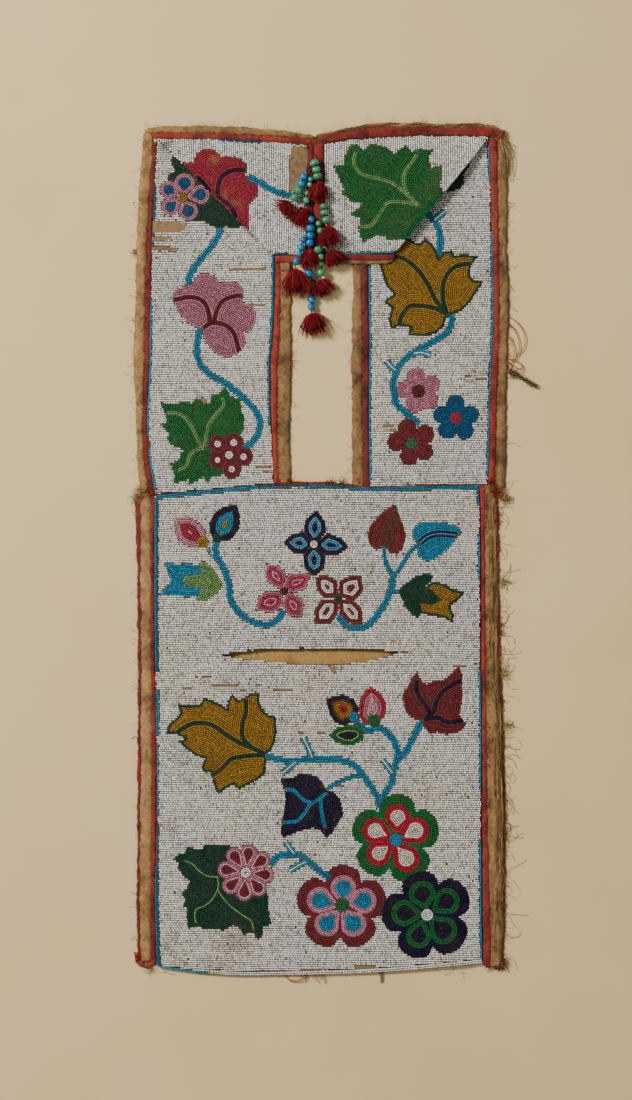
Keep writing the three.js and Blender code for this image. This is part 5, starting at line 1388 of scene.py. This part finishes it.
# ------------------------------------------------------------------ bead strings: threads, glass beads, tassels
strings = [
    ("a", (313.6, 153, 8.2), [(314.3, 163.5, 12.4, 4.7, "green"), (316.2, 170.2, 12.4, 4.4, "green"), (317.5, 176.9, 12.4, 4.5, "green")], (), ((318.4, 183, 12.6), (319.8, 200.4, 13.2), 5.6)),
    ("b", (311.6, 166, 8.0), [(303.9, 177.0, 10.9, 3.9, "blue"), (301.6, 184.2, 11.4, 4.5, "blue"), (298.2, 191.1, 11.2, 4.3, "green"), (295.0, 198.0, 11.2, 4.3, "green")], (), ((290.6, 203.6, 11.4), (280.4, 213.8, 12.4), 5.6)),
    ("c", (312.6, 171.4, 7.6), [(310.6, 179.8, 9.8, 3.0, "teal"), (309.8, 185.2, 9.9, 3.0, "green"), (307.0, 193.8, 9.6, 2.6, "green"), (306.4, 201.0, 10.5, 3.6, "green")], (), ((304.4, 208.4, 10.6), (298.4, 226.4, 12.6), 5.8)),
    ("d", (317.4, 203.2, 7.6), [(323.6, 206.9, 11.0, 3.9, "green"), (324.4, 213.1, 11.2, 4.2, "green"), (325.7, 220.2, 11.4, 4.3, "green")], (), ((327.4, 226.4, 12.0), (330.4, 246.2, 15.0), 5.6)),
    ("e", (315.4, 217.4, 7.6), [(318.4, 224.0, 10.0, 3.0, "green"), (320.2, 231.0, 10.2, 3.3, "green")], [(324.6, 242.4, 7.9)], ((329.6, 251.4, 9.6), (336.4, 264.8, 12.4), 5.8)),
    ("f", (311.6, 212.4, 7.6), [(310.6, 220.3, 11.0, 4.1, "blue"), (310.4, 228.7, 11.6, 4.6, "blue"), (310.4, 236.1, 11.6, 4.5, "blue"), (310.1, 243.3, 11.2, 4.2, "blue")], (), ((309.8, 249.4, 11.4), (310.4, 267.6, 13.4), 5.6)),
    ("g", (308.6, 233.0, 7.5), [(303.1, 240.3, 10.2, 3.2, "blue"), (301.2, 247.8, 10.9, 3.9, "blue"), (299.4, 254.4, 10.4, 3.3, "blue"), (296.6, 261.8, 10.6, 3.9, "blue")], (), ((295.8, 269.0, 9.6), (297.6, 295.0, 8.6), 7.8)),
    ("h", (315.4, 243.0, 7.6), [(318.6, 250.0, 11.6, 4.6, "green"), (320.9, 257.2, 11.0, 3.4, "green"), (322.0, 264.7, 10.2, 2.8, "green"), (320.8, 272.9, 9.6, 4.0, "green")], (), ((321.4, 279.4, 8.4), (326.8, 295.8, 7.0), 6.4)),
    ("i", (309.6, 264.6, 7.0), [(309.0, 273.4, 6.6, 4.4, "blue"), (313.2, 283.3, 5.4, 3.8, "navy"), (313.2, 292.1, 4.8, 4.1, "navy"), (311.8, 299.8, 4.7, 4.3, "blue"), (311.4, 306.9, 4.6, 4.1, "blue")], (), ((311.9, 313.4, 4.9), (317.4, 335.2, 8.4), 8.0)),
]


def at3(p):
    return np.array([(p[0] - X0) * MM, (Y0 - p[1]) * MM, p[2] * MM])


def turned(v, d):
    """Points of a body whose axis is +Z, turned to lie along d."""
    d = np.asarray(d, float) / np.linalg.norm(d)
    h = np.array([0, 0, 1.0]) if abs(d[2]) < 0.9 else np.array([1.0, 0, 0])
    s = np.cross(h, d)
    s /= np.linalg.norm(s)
    t = np.cross(d, s)
    return v[..., :1] * s + v[..., 1:2] * t + v[..., 2:] * d


def lathe(profile, sides=28):
    """A closed ring of revolution about +Z from (radius, height) points."""
    pr = np.asarray(profile, float)
    a = 2 * np.pi * np.arange(sides) / sides
    v = np.stack([pr[:, None, 0] * np.cos(a), pr[:, None, 0] * np.sin(a), np.broadcast_to(pr[:, None, 1], (len(pr), sides))], -1).reshape(-1, 3)
    m = len(pr)
    i, j = np.meshgrid(np.arange(m), np.arange(sides), indexing="ij")
    a, b = i * sides + j, i * sides + (j + 1) % sides
    c, d = ((i + 1) % m) * sides + j, ((i + 1) % m) * sides + (j + 1) % sides
    return v, np.stack([a, b, d, c], -1).reshape(-1, 4)


def tube_piece(name, path, r, mat, color, sides=10, ply=0):
    """A thread or twine: one round strand, or several twisted together."""
    q = np.asarray(path, float)
    if not ply:
        v, f = tubes(q[None], np.full((1, len(q)), r), sides)
    else:
        d = np.gradient(q, axis=0)
        d /= np.linalg.norm(d, axis=1, keepdims=True)
        s = np.cross(d, [0, 0, 1.0])
        s /= np.linalg.norm(s, axis=1, keepdims=True)
        t = np.cross(s, d)
        length = np.concatenate([[0], np.cumsum(np.linalg.norm(np.diff(q, axis=0), axis=1))])
        many = []
        for k in range(ply):
            w = 2 * np.pi * (length / (r * 5.2) + k / ply)
            many.append(q + 0.5 * r * (np.cos(w)[:, None] * s + np.sin(w)[:, None] * t))
        v, f = tubes(np.array(many), 0.56 * r, sides)
    n = len(v)
    c = np.asarray(color)[None] * (1 + 0.16 * noise(v[:, 0] * 1600, v[:, 1] * 1600, 5))[:, None]
    return mesh_object(name, v, f, mat, True, c)


TASSEL_DARK, TASSEL_RED = srgb(99, 21, 28), srgb(150, 37, 44)


def tassel(name, neck, end, r, floor_z, seed, lobes=((0, 1.0),)):
    """A wool tassel: a tied head and a loose skirt of yarn ends that spreads and curls as it lies."""
    g = np.random.default_rng(seed)
    a, b = at3(neck), at3(end)
    axis = b - a
    length = np.linalg.norm(axis)
    axis /= length
    s = np.cross(axis, [0, 0, 1.0])
    s /= np.linalg.norm(s)
    t = np.cross(s, axis)
    n, m = 230, 7
    u = np.linspace(0, 1, m)
    rad = np.sqrt(g.random(n))
    ang = 2 * np.pi * g.random(n)
    wild = g.random(n) < 0.24
    reach = length * np.where(wild, 0.5 + 0.66 * g.random(n), 0.72 + 0.34 * g.random(n)) * (1.05 - 0.14 * rad)
    spread = r * MM * np.where(wild, 1.9 + 0.6 * g.random(n), 1.8) * rad
    lob = np.array([lobes[k % len(lobes)] for k in range(n)])
    clump = g.integers(0, 7, n)
    lean, cut = g.normal(0, 0.34, 7)[clump], (0.84 + 0.3 * g.random(7))[clump]
    reach = reach * cut
    curve = np.power(u, 0.52)[None] * (1 - 0.12 * u[None] ** 3)
    side = (1.4 * MM * rad)[:, None] * (1 - u)[None] + spread[:, None] * curve
    sway = (1.2 * MM * g.normal(0, 1, n))[:, None] * (u**2)[None]
    wob = 0.9 * MM * np.stack([noise(u * 2.6 + 31 * k, u * 0 + seed, 3) for k in range(n)]) * u[None]
    wob2 = 0.6 * MM * np.stack([noise(u * 2.9 + 17 * k, u * 0 + seed, 4) for k in range(n)]) * u[None]
    x = side * np.cos(ang)[:, None] + wob + sway + ((lob[:, 0] + lean) * r * MM)[:, None] * smooth(u)[None]
    z = 0.55 * side * np.sin(ang)[:, None] + wob2
    p = a + axis * (reach[:, None] * u[None])[..., None] + s * x[..., None] + t * z[..., None]
    p[..., 2] = np.maximum(p[..., 2], floor_z * MM + 0.35 * MM)
    v, f = tubes(p, 0.46 * MM * (1 - 0.4 * u)[None] * np.where(wild, 0.62, 1.0)[:, None], 3)
    shade = np.repeat(0.55 + 0.7 * g.random(n), m * 3)
    base = np.repeat(np.where(g.random(n)[:, None] < 0.26, TASSEL_RED, TASSEL_DARK), m * 3, 0)
    c = base * shade[:, None]
    # tied head: a few turns of red yarn round the neck
    w = np.linspace(0, 1, 44)
    wind = a + axis * ((0.4 + 3.0 * w) * MM)[:, None] + (1.75 * MM * (0.85 + 0.25 * np.sin(np.pi * w)))[:, None] * (s * np.cos(2 * np.pi * 4 * w)[:, None] + t * np.sin(2 * np.pi * 4 * w)[:, None])
    v2, f2 = tubes(wind[None], np.full((1, 44), 0.5 * MM), 4)
    c2 = np.repeat(srgb(146, 22, 28)[None], len(v2), 0)
    # soft core, so the skirt is full
    k = np.array([(0.0005, 0.0), (0.0013, 0.2 * MM), (0.0018, 0.12 * length), (0.72 * r * MM, 0.3 * length), (1.02 * r * MM, 0.56 * length), (0.94 * r * MM, 0.74 * length), (0.0005, 0.78 * length)])
    v3, f3 = lathe(k, 14)
    v3 = turned(v3, axis) + a + s * (np.mean(lob[:, 0]) * r * MM)
    v3[:, 2] = np.maximum(v3[:, 2], floor_z * MM + 0.3 * MM)
    tri = np.vstack([f3[:, :3], f3[:, [0, 2, 3]]])
    # the core is painted darker than any of the yarn: painted shade inside the tassel
    c3 = np.repeat((TASSEL_DARK * 0.55)[None], len(v3), 0)
    verts = np.vstack([v, v2, v3])
    faces = np.vstack([f, f2 + len(v), tri + len(v) + len(v2)])
    return mesh_object(name, verts, faces, M_WOOL, True, np.vstack([c, c2, c3]))


def spline3(points, n):
    q = rounded(np.array(points), 14)
    return resample(q, n)


drop_pieces = []
SURFACE = {"g": 0.2, "h": 0.2, "i": 0.2}
for name, start, beads, bend, (neck, end, tr) in strings:
    on = [np.array(b[:3]) for b in beads]
    unit = lambda v: v / np.linalg.norm(v)
    first = on[0] + unit(on[0] - on[1]) * (beads[0][3] + 0.5)
    last = on[-1] + unit(on[-1] - on[-2]) * 0.8 * beads[-1][3]
    pts = [np.array(start), first, *on, last, *[np.array(b) for b in bend], np.array(neck), np.array(neck) + 0.1 * (np.array(end) - np.array(neck))]
    path = spline3(pts, 46)
    line = np.stack([at3(p) for p in path])
    thread = finish_piece(tube_piece(f"string_{name}_thread", line, 0.55 * MM, M_TWINE, srgb(58, 34, 26), 8), "twine")
    lobes = {"g": ((-0.55, 1), (0.55, 1)), "i": ((0.2, 1), (-0.2, 1), (0.5, 1)), "h": ((0.0, 1), (0.35, 1))}.get(name, ((0, 1),))
    wool = finish_piece(tassel(f"string_{name}_wool", neck, end, tr, SURFACE.get(name, 6.4), ord(name), lobes), "wool", f"string_{name}_tassel")
    parts = [wool]
    for k, b in enumerate(beads):
        here = np.array(b[:3])
        near = min(np.linalg.norm(here - o) for o in on if o is not on[k])
        r = b[3]
        half = min(0.92 * r, (near - 0.3) / 2)
        i = int(np.argmin(np.linalg.norm(path - here, axis=1)))
        d = at3(path[min(i + 1, 45)]) - at3(path[max(i - 1, 0)])
        th = np.radians(np.linspace(-70, 70, 10))
        prof = [(1.1, -0.76 * half), *zip(np.maximum(1.3, r * np.cos(th) ** 0.8), half * np.sin(th) / math.sin(th[-1])), (1.1, 0.76 * half), (1.0, 0.0)]
        v, f = lathe(np.array(prof) * MM, 22)
        v = turned(v, d) + at3(here)
        g = finish_piece(mesh_object(f"string_{name}_glass_{k + 1}", v, f, GLASS[b[4]]), f"glass_{b[4]}", f"string_{name}_bead_{k + 1}")
        parts.append(g)
    drop_pieces += [thread, *parts]

main = np.stack([at3(p) for p in resample([(313, 147, 5.0), (313, 190, 5.0), (313, 230, 5.0), (313, 251, 5.0)], 30)])
main_cord = finish_piece(tube_piece("main_cord", main, 0.6 * MM, M_TWINE, srgb(58, 30, 24), 8), "twine", "bead_string_main_cord")

stub_path = spline3([(507.9, 371.4, 2.3), (515, 374.2, 2.4), (524, 379.4, 2.4), (532, 384.2, 2.4), (536.6, 386.2, 2.4)], 70)
stub = np.stack([at3(p) for p in stub_path])
stub_cord = finish_piece(tube_piece("tie_cord", stub, 1.95 * MM, M_TWINE, srgb(84, 60, 40), 8, ply=2), "twine", "tie_cord_stub")

# ------------------------------------------------------------------ frayed threads
TANS = [srgb(146, 112, 66), srgb(116, 88, 50), srgb(166, 132, 86), srgb(100, 88, 52)]
REDS = [srgb(132, 40, 32), srgb(102, 28, 26), srgb(150, 66, 48)]
DARKS = [srgb(62, 46, 30), srgb(86, 62, 38), srgb(76, 66, 38)]
ORANGE = srgb(156, 78, 54)


def fray(name, jobs, slot_name="tan_cloth"):
    """Loose yarn: each job is (start, end, bow, radius, colour) or (points, radius, colour), on the plan in mm with height."""
    many, rad, col = [], [], []
    m = 7
    u = np.linspace(0, 1, m)[:, None]
    for job in jobs:
        k = len(many)
        if len(job) == 3:
            p, r, c = job
            thin = np.ones(m)
        else:
            a, b, bow, r, c = job
            a, b = np.array(a, float), np.array(b, float)
            d = b - a
            n = np.array([-d[1], d[0], 0.0])
            n /= max(np.linalg.norm(n), 1e-6)
            p = a + d * u + n * bow * np.sin(np.pi * u) + np.concatenate([noise(u * 3 + 7 * k, u * 0, 1), noise(u * 3 + 7 * k, u * 0, 2), 0 * u], 1) * 0.35 * min(1.5, 0.12 * np.linalg.norm(d) + 0.2)
            c = np.asarray(c) * (0.75 + 0.45 * rng.random())
            thin = np.linspace(1, 0.55, m)
        p = np.array(p, float)
        p[:, 2] = np.maximum(p[:, 2], r + 0.05)
        many.append(np.stack([at3(q) for q in p]))
        rad.append(r * MM * thin)
        col.append(c)
    v, f = tubes(np.array(many), np.array(rad), 3)
    c = np.repeat(np.array(col), m * 3, 0)
    return finish_piece(mesh_object(name, v, f, M_FRAY, True, c), slot_name)


def strand(points, r, c, step=1.7):
    """One long thread through points, as jobs."""
    q = rounded(np.array(points, float), 8)
    length = np.linalg.norm(np.diff(q, axis=0), axis=1).sum()
    count = 1 + 6 * max(1, int(math.ceil(length / (6 * step))))
    q = resample(q, count)
    c = np.asarray(c) * (0.75 + 0.45 * rng.random())
    return [(q[i:i + 7], r, c) for i in range(0, count - 1, 6)]


def curl(at, heading, length, z, c, r=0.15, turn=0.3):
    """A long loose thread that wanders off from a place and comes down to what lies below."""
    pts, h, k = [np.array([*at, z])], heading, rng.normal(0, turn)
    for _ in range(max(3, int(length / 2.6))):
        k = 0.85 * k + rng.normal(0, 0.5 * turn)
        h += k
        z = max(0.4, z - 0.4)
        pts.append(np.array([pts[-1][0] + 2.6 * math.cos(h), pts[-1][1] + 2.6 * math.sin(h), z]))
    return strand(pts, r, c)


def curls(edge, count, heading, length, z, colours, spread=1.0, r=(0.1, 0.19)):
    e = resample(edge, 300)
    jobs = []
    for _ in range(count):
        i = int(rng.integers(2, 298))
        jobs += curl(e[i], heading + rng.normal(0, spread), rng.uniform(*length), z, colours[int(rng.integers(len(colours)))], rng.uniform(*r))
    return jobs


def along_edge(edge, count, out, length, z, colours, r=(0.14, 0.28), reach=1.0):
    """Short yarn ends all along an edge, pointing out from it."""
    e = resample(edge, 400)
    jobs = []
    for _ in range(count):
        i = int(rng.integers(2, 397))
        t = e[i + 1] - e[i - 1]
        t /= np.linalg.norm(t)
        n = np.array([-t[1], t[0]]) * (out if out else (1 if rng.random() < 0.5 else -1))
        l = length * (0.35 + rng.random() ** 2 * 1.3)
        d = n * (0.35 + rng.random()) + t * rng.normal(0, 0.9)
        d /= np.linalg.norm(d)
        a = e[i] - n * rng.random() * 1.5
        b = a + d * l * reach
        jobs.append(((*a, z + rng.random() * 0.8), (*b, max(0.3, z - 0.8 + rng.normal(0, 0.5))), rng.normal(0, 0.22) * l, rng.uniform(*r), colours[int(rng.integers(len(colours)))]))
    return jobs


def tuft(c, count, size, z, colours, r=(0.15, 0.3), aim=None, spread=1.0):
    """A knot of tangled yarn ends about a place."""
    jobs = []
    for _ in range(count):
        a = np.array(c) + rng.normal(0, 0.25 * size, 2)
        t = rng.uniform(0, 2 * np.pi) if aim is None else aim + rng.normal(0, spread)
        l = size * (0.4 + 0.9 * rng.random())
        b = a + l * np.array([math.cos(t), math.sin(t)])
        jobs.append(((*a, z + rng.random() * 1.5), (*b, max(0.3, z - 0.5 + rng.normal(0, 0.8))), rng.normal(0, 0.35) * l, rng.uniform(*r), colours[int(rng.integers(len(colours)))]))
    return jobs


FUZZ = (0.2, 0.36)
jobs = along_edge(leftOuterEdge, 120, 1, 3.0, 1.6, TANS) + along_edge(leftTopEdge, 50, -1, 2.4, 3.5, TANS) + along_edge(leftInnerEdge, 60, -1, 2.4, 1.6, TANS)
jobs += along_edge(tanRedL, 110, 0, 2.2, 2.6, REDS, FUZZ) + along_edge(topRedL, 70, 0, 2.2, 5.2, REDS, FUZZ) + along_edge(redTanL, 90, 0, 2.2, 2.6, REDS, FUZZ)
jobs += curls(leftOuterEdge, 40, math.pi, (4, 13), 1.6, TANS, 1.1, (0.11, 0.2)) + curls(leftTopEdge, 24, -1.2, (4, 14), 3.6, TANS) + curls([(188, 132), (222, 134)], 5, -0.3, (14, 28), 6.4, [ORANGE, TANS[2]], 0.5) + curls(leftInnerEdge, 18, 0.2, (4, 12), 1.6, TANS + REDS[:1])
jobs += tuft((136.5, 252), 34, 5, 1.4, TANS, aim=math.pi, spread=1.0) + tuft((141, 490), 40, 5.5, 2.4, TANS, aim=math.pi, spread=1.2) + tuft((285, 350), 14, 6, 2, TANS[:2], aim=0.2, spread=0.7) + tuft((288, 362), 14, 7, 2, REDS, aim=0.1, spread=0.5) + tuft((288, 481), 26, 6, 2.4, REDS + TANS[:1], aim=0.3, spread=1.0)
jobs += tuft((313, 141), 26, 5, 5.4, REDS) + tuft((308, 148), 16, 5, 6.0, REDS[:2])
# loose stitches on the bare place at the strap's end
for _ in range(15):
    q, w = np.array([rng.uniform(291.5, 304), rng.uniform(150, 176)]), rng.uniform(0, np.pi)
    jobs.append(((*q, 5.1), (*(q + rng.uniform(1.5, 3.6) * np.array([math.cos(w), math.sin(w)])), 5.1), rng.normal(0, 0.5), 0.17, srgb(92, 66, 40)))
left_fray = fray("strap_left_fray", jobs)
jobs = along_edge(rightOuterEdge, 120, -1, 2.8, 1.4, TANS) + along_edge(rightTopEdge, 100, -1, 2.2, 3.2, TANS[:2] + REDS[:1]) + along_edge(rightInnerEdge, 80, 1, 2.8, 1.5, TANS + REDS[:1])
jobs += along_edge(redTanR, 130, 0, 2.4, 2.5, REDS, FUZZ) + along_edge(topR, 110, 0, 2.2, 4.8, REDS, FUZZ) + along_edge(tanRedR, 80, 0, 2.2, 2.5, REDS, FUZZ)
jobs += curls(rightOuterEdge, 54, 0.2, (5, 17), 1.5, TANS, 1.1, (0.12, 0.22)) + curls(rightTopEdge, 26, -0.8, (4, 12), 3.6, TANS) + curls(rightInnerEdge, 24, math.pi, (4, 11), 1.5, TANS)
# yarns lying along the upper edge
e = resample(rightTopEdge, 200)
for k in range(46):
    i = int(rng.integers(6, 150))
    j = min(198, i + int(rng.integers(10, 34)))
    w = rng.uniform(-0.6, 3.2)
    jobs.append(((e[i][0], e[i][1] + w, 5.2), (e[j][0], e[j][1] + w + rng.normal(0, 0.6), 5.2), rng.normal(0, 0.9), rng.uniform(0.2, 0.36), (TANS[:2] + DARKS)[k % 5]))
# yarns hanging from the upper right corner
for k in range(30):
    o = rng.normal(0, 2.6)
    jobs.append(((500 + 0.7 * o + rng.normal(0, 1.2), 131 + rng.random() * 9, 4.2 + rng.random()), (507.5 + o + rng.normal(0, 1.4), 152 + rng.random() * 30, 0.8 + rng.random() * 1.4), -3.2 + rng.normal(0, 1.4), rng.uniform(0.3, 0.6), [srgb(150, 122, 80), srgb(120, 90, 54), srgb(168, 140, 98), srgb(104, 84, 52)][k % 4]))
jobs += tuft((500, 136), 30, 6, 5, TANS + REDS[:1], aim=-0.6, spread=0.9)
jobs += curls([(500, 134), (508, 150)], 16, 0.2, (8, 20), 4.0, TANS, 0.9)
# loops of red thread beside the right strap
for pts in ([(498, 316), (508, 316.6), (517, 322), (524, 332), (525.4, 343), (521, 352), (516, 356)], [(502, 320), (511, 325), (517, 334), (519.5, 345), (517.6, 356), (511, 361)], [(497, 349), (504.8, 356.6), (512.9, 360.3), (520, 363), (523.4, 368), (521, 373)], [(499, 346), (503, 355), (511, 364), (519, 368.6), (522, 366), (517, 361)], [(503, 333), (511, 339), (515, 352), (511, 365), (507, 372)]):
    jobs += strand([(*q, 1.5) for q in pts], 0.52, ORANGE)
jobs += tuft((510, 372), 40, 7, 2, [srgb(84, 60, 40), srgb(110, 80, 52), srgb(120, 62, 44)], aim=0.4, spread=0.9) + tuft((533, 385), 14, 4, 2, [srgb(84, 60, 40)], aim=0.4, spread=0.7)
# fibres standing off the tie cord
for k in range(90):
    w = rng.random()
    q = np.array([511 + 26 * w, 370.5 + 16.5 * w]) + rng.normal(0, 1.0, 2)
    h = 0.57 + rng.normal(0, 0.5)
    l = rng.uniform(2, 5)
    jobs.append(((*q, 2.2 + 1.2 * rng.random()), (*(q + l * np.array([math.cos(h), math.sin(h)])), 2.0 + 1.4 * rng.random()), rng.normal(0, 0.5), rng.uniform(0.16, 0.32), [srgb(84, 62, 42), srgb(112, 84, 56), srgb(64, 48, 34)][k % 3]))
jobs += tuft((330, 483), 34, 6, 3, DARKS, aim=-0.3, spread=1.6) + tuft((342, 482), 26, 5, 3, DARKS) + tuft((358, 481), 20, 5, 2.4, TANS[:2])
jobs += tuft((492, 485), 40, 6, 3.4, REDS) + tuft((500, 487), 24, 5, 2.6, TANS[:2] + REDS[:1])
right_fray = fray("strap_right_fray", jobs)
sideL = [(135.6, 494.5), (135.4, 517), (137.4, 564), (138, 644), (138, 740), (137.4, 830), (137.2, 900), (137.4, 960)]
sideR = [(495, 486), (498.6, 512), (498.8, 570), (499.6, 640), (503.6, 732), (506, 832), (505.4, 916), (503.6, 966)]
jobs = along_edge(sideL, 80, 1, 2.4, 1.4, TANS + REDS[:1]) + along_edge(sideR, 170, -1, 3.6, 1.5, TANS + REDS[:1])
jobs += along_edge([(141, 496), (141.2, 560), (141.8, 644), (141.4, 740), (140.4, 830), (140, 960)], 110, 0, 2.4, 2.6, REDS[:2] + DARKS[:1], FUZZ) + along_edge([(150.6, 496), (151.2, 644), (151.8, 740), (150.8, 900), (151, 960)], 110, 0, 2.0, 3.4, REDS, FUZZ)
jobs += along_edge([(486.4, 488), (487, 560), (487.4, 640), (488.6, 732), (490, 832), (491, 965)], 120, 0, 2.4, 3.4, REDS, FUZZ)
jobs += curls(sideL, 34, math.pi, (4, 12), 1.6, TANS) + curls(sideR, 150, 0.1, (7, 26), 1.8, TANS + [srgb(150, 118, 76)], 1.2, (0.13, 0.24))
# yarns running along the worn right binding
e = resample(sideR, 200)
for k in range(230):
    i = int(rng.integers(2, 176))
    j = i + int(rng.integers(6, 22))
    w = rng.uniform(-10.5, -3.2)
    jobs.append(((e[i][0] + w, e[i][1], 3.1 + 0.6 * rng.random()), (e[j][0] + w + rng.normal(0, 0.9), e[j][1], 3.1 + 0.6 * rng.random()), rng.normal(0, 1.1), rng.uniform(0.24, 0.46), (TANS + TANS + DARKS[1:])[k % 10]))
jobs += tuft((495, 493), 80, 7, 2.8, REDS, (0.2, 0.4)) + tuft((489, 490), 22, 5, 3.6, [srgb(160, 126, 80)]) + tuft((505, 497), 40, 7, 1.8, TANS[:2] + REDS[:1], aim=0.5, spread=0.9) + curls([(497, 488), (505, 505)], 18, 0.3, (8, 18), 2.4, REDS + TANS, 1.2, (0.14, 0.24))
jobs += tuft((502, 582), 26, 8, 1.5, TANS, aim=0.4, spread=0.9) + tuft((503, 672), 28, 9, 1.5, TANS, aim=-0.1, spread=0.7) + tuft((505, 724), 26, 8, 1.5, TANS, aim=0.2, spread=0.8) + tuft((502, 962), 50, 8, 1.6, TANS + DARKS + REDS[:1], aim=0.9, spread=0.9) + curls([(496, 962), (504, 958)], 16, 1.2, (8, 20), 2.0, TANS[:2] + DARKS, 0.7)
for x, y in ((498, 512), (499, 520), (499, 622), (500, 630), (503, 800), (503.6, 812), (502.6, 700)):
    jobs += tuft((x, y), 12, 4.5, 2.2, REDS[:2], (0.22, 0.42), aim=1.57, spread=0.8)
jobs += tuft((497, 966), 34, 5, 2.2, REDS[:2] + DARKS[:1], (0.22, 0.4)) + tuft((488, 966), 18, 4, 2.4, REDS[:2], (0.22, 0.4))
jobs += tuft((143, 496), 60, 7, 3.4, TANS + REDS[:1]) + tuft((137, 498), 30, 7, 1.8, TANS, aim=2.6, spread=0.9) + tuft((152, 493), 30, 5, 3.6, REDS)
jobs += tuft((150, 968), 18, 6, 1.2, TANS + REDS[:1], aim=1.6, spread=0.9) + tuft((140, 958), 40, 5, 2.2, REDS[:2], (0.25, 0.5))
# the seam where the strap is sewn to the pouch
seam = [(156, 494.6), (200, 491), (240, 487), (277, 484.2), (330, 484), (360, 486.6), (372, 487.2), (420, 486), (480, 484.8)]
e = resample(seam, 330)
for k in range(90):
    i = int(rng.integers(100 if k % 3 else 2, 300))
    j = i + int(rng.integers(8, 28))
    jobs.append(((*e[i], 4.0), (*e[j], 4.0), rng.normal(0, 0.8), rng.uniform(0.25, 0.5), (REDS[:2] + DARKS[:2])[k % 4]))
low = [(170, 969), (240, 976), (310, 975.2), (380, 972.6), (440, 967.5), (478, 964)]
jobs += along_edge(low, 60, 1, 3.0, 1.6, TANS + [ORANGE])
for k in range(22):
    x = 300 + rng.random() * 26
    jobs.append(((x, 974.5, 1.6), (x + rng.normal(0, 3), 979 + rng.random() * 6, 0.4), rng.normal(0, 1.2), rng.uniform(0.15, 0.28), TANS[k % 4]))
for k in range(10):
    jobs.append(((381.4 + 0.35 * k - 1.6 + rng.normal(0, 0.2), 971.5, 1.8), (382 + 0.35 * k - 1.6 + rng.normal(0, 0.4), 980 + rng.random() * 4, 0.5), rng.normal(0, 0.4), 0.3, srgb(136, 98, 56)))
for k in range(4):
    jobs += strand([(284 + k, 974.6, 1.4), (286 + k, 978 + 0.8 * k, 0.7), (293 + k, 980.4 + 0.9 * k, 0.6), (300 + k, 979.4 + 0.8 * k, 0.7), (305 + k, 975.4, 1.4)], 0.2, srgb(170, 86, 66))
jobs += curls([(446, 968), (462, 967)], 3, 1.3, (10, 18), 1.2, DARKS, 0.5) + curls([(140, 968), (165, 972)], 4, 0.6, (8, 16), 1.0, DARKS, 0.6)
pouch_fray = fray("pouch_fray", jobs)

# ------------------------------------------------------------------ cut areas of the soft pieces, worked out but not kept
def cut_area(poly):
    q = xy(np.asarray(poly, float))
    x, y = q[:, 0], q[:, 1]
    return abs(0.5 * float(np.sum(x * np.roll(y, -1) - np.roll(x, -1) * y)))


def declare(o, poly, extra=()):
    q = xy(np.asarray(poly, float))
    w, l = q.max(0) - q.min(0)
    min(cut_area(poly), float(w * l))
    list(extra)


declare(back_cloth, pouch)
declare(lining, lining_poly)
declare(front_cloth, pouch, seed_pieces["pouch"] + bindings["pouch"] + [pouch_fray])
declare(left_cloth, left_limb_poly, seed_pieces["left"][:1] + bindings["left"] + [left_fray])
declare(left_turn_cloth, left_turn_poly, seed_pieces["left"][1:])
declare(left_turn_lining, left_turn_lining_poly)
declare(right_cloth, right_limb_poly, seed_pieces["right"][:1] + bindings["right"] + [right_fray])
declare(right_turn_cloth, right_turn_poly, seed_pieces["right"][1:] + [right_fold])
declare(right_turn_lining, right_turn_lining_poly)

tris = sum(len(o.data.loop_triangles) or sum(len(p.vertices) - 2 for p in o.data.polygons) for o in bpy.data.objects if o.type == "MESH" and not o.hide_render)
print("triangles", tris, "seed beads", sum(len(o.data.vertices) // 6 for l in seed_pieces.values() for o in l))
